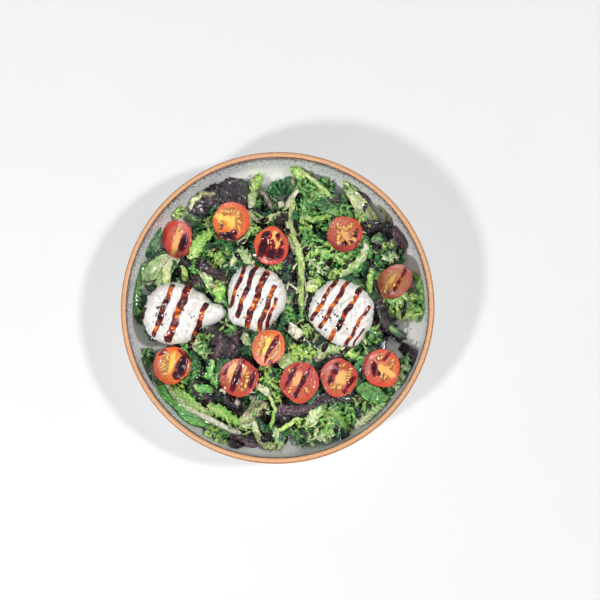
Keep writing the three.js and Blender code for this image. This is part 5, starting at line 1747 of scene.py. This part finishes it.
class SALAD_OT_drizzle(bpy.types.Operator):
    """Drizzles the balsamic glaze over cheese, tomatoes and leaves"""
    bl_idname = "salad.drizzle"
    bl_label = "Balsamic drizzle"

    def execute(self, context):
        look = context.scene.salad_drizzle_look
        material = glaze_material(look)
        shown = bpy.data.objects
        for i, cheese in enumerate(BURRATAS, 1):
            rng = np.random.default_rng((SEED, 5, i))
            tree = surface_of(shown[f"burrata_curd_{i:02d}"])
            patches = [strip(tree, stripe_path(cheese, across, start, end, rng), width, thinness,
                             rng, burrata_middle_z(cheese) - STRIPE_DROP)
                       for across, start, end, width, thinness in cheese.stripes]
            piece = glaze_piece(f"drizzle_on_burrata_{i:02d}", patches, look, ON_CHEESE, material,
                                "burrata", f"burrata_{i:02d}")
            give_thickness(piece, STRIP_SINK * MM)
        for i, tomato in enumerate(TOMATOES, 1):
            rng = np.random.default_rng((SEED, 6, i))
            ground = face_ground(tomato, surface_of(shown[f"cherry_tomato_{i:02d}"]))
            patches = [pool(ground, tomato.x + x, tomato.y + y, *shape, rng)
                       for x, y, *shape in tomato.marks]
            glaze_piece(f"drizzle_on_tomato_{i:02d}", patches, look, ON_TOMATO, material, "tomato",
                        f"tomato_half_{i:02d}")
        rng = np.random.default_rng((SEED, 7))
        trees = [surface_of(shown[name]) for name in LEAF_PIECES.values()]
        patches = []
        for x, y, *shape in LEAF_DRIZZLE:
            x, y = as_seen((x, y))
            patches.append(pool(leaf_ground(trees, x, y), x, y, *shape, rng))
        glaze_piece("drizzle_on_leaves", patches, look, ON_LEAVES, material, "leaves", "salad")
        return {"FINISHED"}


# ---- Stage -------------------------------------------------------------------------------------

TABLE_REACH = 3
MOTTLES_A_METRE = 12
AIM = Vector((0.0177, 0.004, 0.045))
# Each key: the direction to it in degrees from +X, its elevation, distance and share of the light.
KEYS = [(219.7, 41.7, 1.87, 0.295), (0, 48.7, 5, 0.29)]
KEY_SPREAD = 0.123
KEY_COLOUR = (1.0, 0.975, 0.94)
# Each panel that only gloss shows: its direction, elevation, width, length and brightness.
PANELS = [(250, 60, 0.1, 0.18, 170), (20, 60, 0.09, 0.16, 170), (125, 58, 0.09, 0.16, 170)]
PANEL_DISTANCE = 1.5
SKY_LOW = (0.53, 0.535, 0.54, 1)
SKY_HIGH = (0.47, 0.48, 0.49, 1)
SKY_FADE = {"From Min": 0.35, "From Max": 0.9}
SKY_IN_GLOSS = 0.5


def table_material(look):
    """Matt white laminate: a plain, faintly mottled pale surface."""
    material, tree, where = new_material("Matt white laminate")
    mottle = add_node(tree, "TexNoise", None, {"Vector": where, "Scale": MOTTLES_A_METRE})
    tone = add_node(tree, "Mix", MIX_COLOURS, {0: mottle, MIX_A: look.table, MIX_B: look.mottle})
    return with_surface(material, {"Base Color": tone.outputs[MIX_RESULT], "Roughness": 0.7})


def light_sky(scene):
    """A white sky, dimmer overhead than at its rim and in gloss, so that gloss stays deep."""
    world = bpy.data.worlds.new("Studio")
    world.use_nodes = True
    tree = world.node_tree
    tree.nodes.clear()
    where = add_node(tree, "TexCoord")
    split = add_node(tree, "SeparateXYZ", None, {0: where.outputs["Generated"]})
    level = add_node(tree, "MapRange", EASED, {"Value": split.outputs["Z"], **SKY_FADE})
    colour = add_node(tree, "Mix", MIX_COLOURS, {0: level, MIX_A: SKY_LOW, MIX_B: SKY_HIGH})
    ray = add_node(tree, "LightPath")
    strength = add_node(tree, "MapRange", None, {
        "Value": ray.outputs["Is Glossy Ray"], "To Min": 1.0, "To Max": SKY_IN_GLOSS})
    sky = add_node(tree, "Background", None, {
        "Color": colour.outputs[MIX_RESULT], "Strength": strength})
    add_node(tree, "OutputWorld", None, {"Surface": sky})
    scene.world = world


def add_lamp(scene, name, toward, elevation, distance):
    """A lamp that shines on the dish from a direction in degrees, and its object."""
    turn, rise = math.radians(toward), math.radians(elevation)
    way = Vector((math.cos(turn) * math.cos(rise), math.sin(turn) * math.cos(rise), math.sin(rise)))
    lamp = bpy.data.lights.new(name, "AREA")
    holder = bpy.data.objects.new(name, lamp)
    holder.location = way * distance
    holder.rotation_euler = way.to_track_quat("Z", "Y").to_euler()
    scene.collection.objects.link(holder)
    return lamp, holder


def light_keys(scene):
    for i, (toward, elevation, distance, share) in enumerate(KEYS, 1):
        lamp, _ = add_lamp(scene, f"Key {i}", toward, elevation, distance)
        lamp.shape = "DISK"
        lamp.size = KEY_SPREAD * distance
        lamp.color = KEY_COLOUR
        lamp.energy = share * math.pi ** 2 * distance ** 2 / math.sin(math.radians(elevation))
    for i, (toward, elevation, width, length, brightness) in enumerate(PANELS, 1):
        lamp, holder = add_lamp(scene, f"Panel {i}", toward, elevation, PANEL_DISTANCE)
        lamp.shape = "RECTANGLE"
        lamp.size, lamp.size_y = width, length
        lamp.energy = brightness * math.pi * width * length
        holder.visible_diffuse = False


def add_camera(scene, look):
    """The camera, which leans to a side from over the dish."""
    back = Vector((math.sin(look.azimuth) * math.cos(look.elevation),
                   -math.cos(look.azimuth) * math.cos(look.elevation), math.sin(look.elevation)))
    right = Vector((0, 1, 0)).cross(back).normalized()
    turn = Matrix((right, back.cross(right), back)).transposed()
    camera = bpy.data.cameras.new("Camera")
    camera.lens = look.lens
    holder = bpy.data.objects.new("Camera", camera)
    holder.matrix_world = Matrix.Translation(AIM + back * look.distance) @ turn.to_4x4()
    scene.collection.objects.link(holder)
    scene.camera = holder


class SALAD_OT_stage(bpy.types.Operator):
    """Sets the table, the light and the camera"""
    bl_idname = "salad.stage"
    bl_label = "Table, light and camera"

    def execute(self, context):
        scene, look = context.scene, context.scene.salad_stage_look
        bm = bmesh.new()
        bmesh.ops.create_grid(bm, x_segments=1, y_segments=1, size=TABLE_REACH)
        mesh = bpy.data.meshes.new("table")
        bm.to_mesh(mesh)
        bm.free()
        mesh.materials.append(table_material(look))
        table = bpy.data.objects.new("table", mesh)
        scene.collection.objects.link(table)
        table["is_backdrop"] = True
        light_sky(scene)
        light_keys(scene)
        add_camera(scene, look)
        scene.view_settings.view_transform = "Standard"
        return {"FINISHED"}


# ---- Add-on ------------------------------------------------------------------------------------

STEPS = (SALAD_OT_bowl, SALAD_OT_leaves, SALAD_OT_tomatoes, SALAD_OT_burratas, SALAD_OT_drizzle,
         SALAD_OT_stage)


class SALAD_PT_panel(bpy.types.Panel):
    """The steps of the salad, with their sizes and colours"""
    bl_label = "Burrata salad"
    bl_idname = "SALAD_PT_panel"
    bl_space_type = "VIEW_3D"
    bl_region_type = "UI"
    bl_category = "Salad"

    def draw(self, context):
        for step in STEPS:
            self.layout.operator(step.bl_idname)
        for name, look in LOOKS.items():
            box = self.layout.box()
            for setting in look.__annotations__:
                box.prop(getattr(context.scene, name), setting)


def register():
    for name, look in LOOKS.items():
        bpy.utils.register_class(look)
        setattr(bpy.types.Scene, name, bpy.props.PointerProperty(type=look))
    for kind in (*STEPS, SALAD_PT_panel):
        bpy.utils.register_class(kind)


def unregister():
    for kind in (SALAD_PT_panel, *reversed(STEPS)):
        bpy.utils.unregister_class(kind)
    for name, look in LOOKS.items():
        delattr(bpy.types.Scene, name)
        bpy.utils.unregister_class(look)


def write_sizes():
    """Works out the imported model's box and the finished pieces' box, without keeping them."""
    boxes = {"cad": CAD_BOX, "visual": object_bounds()}
    {name: [list(corner) for corner in box] for name, box in boxes.items()}


def main():
    register()
    bpy.ops.salad.bowl()
    bpy.ops.salad.leaves()
    bpy.ops.salad.tomatoes()
    bpy.ops.salad.burratas()
    bpy.ops.salad.drizzle()
    bpy.ops.salad.stage()
    write_sizes()


if __name__ == "__main__":
    main()
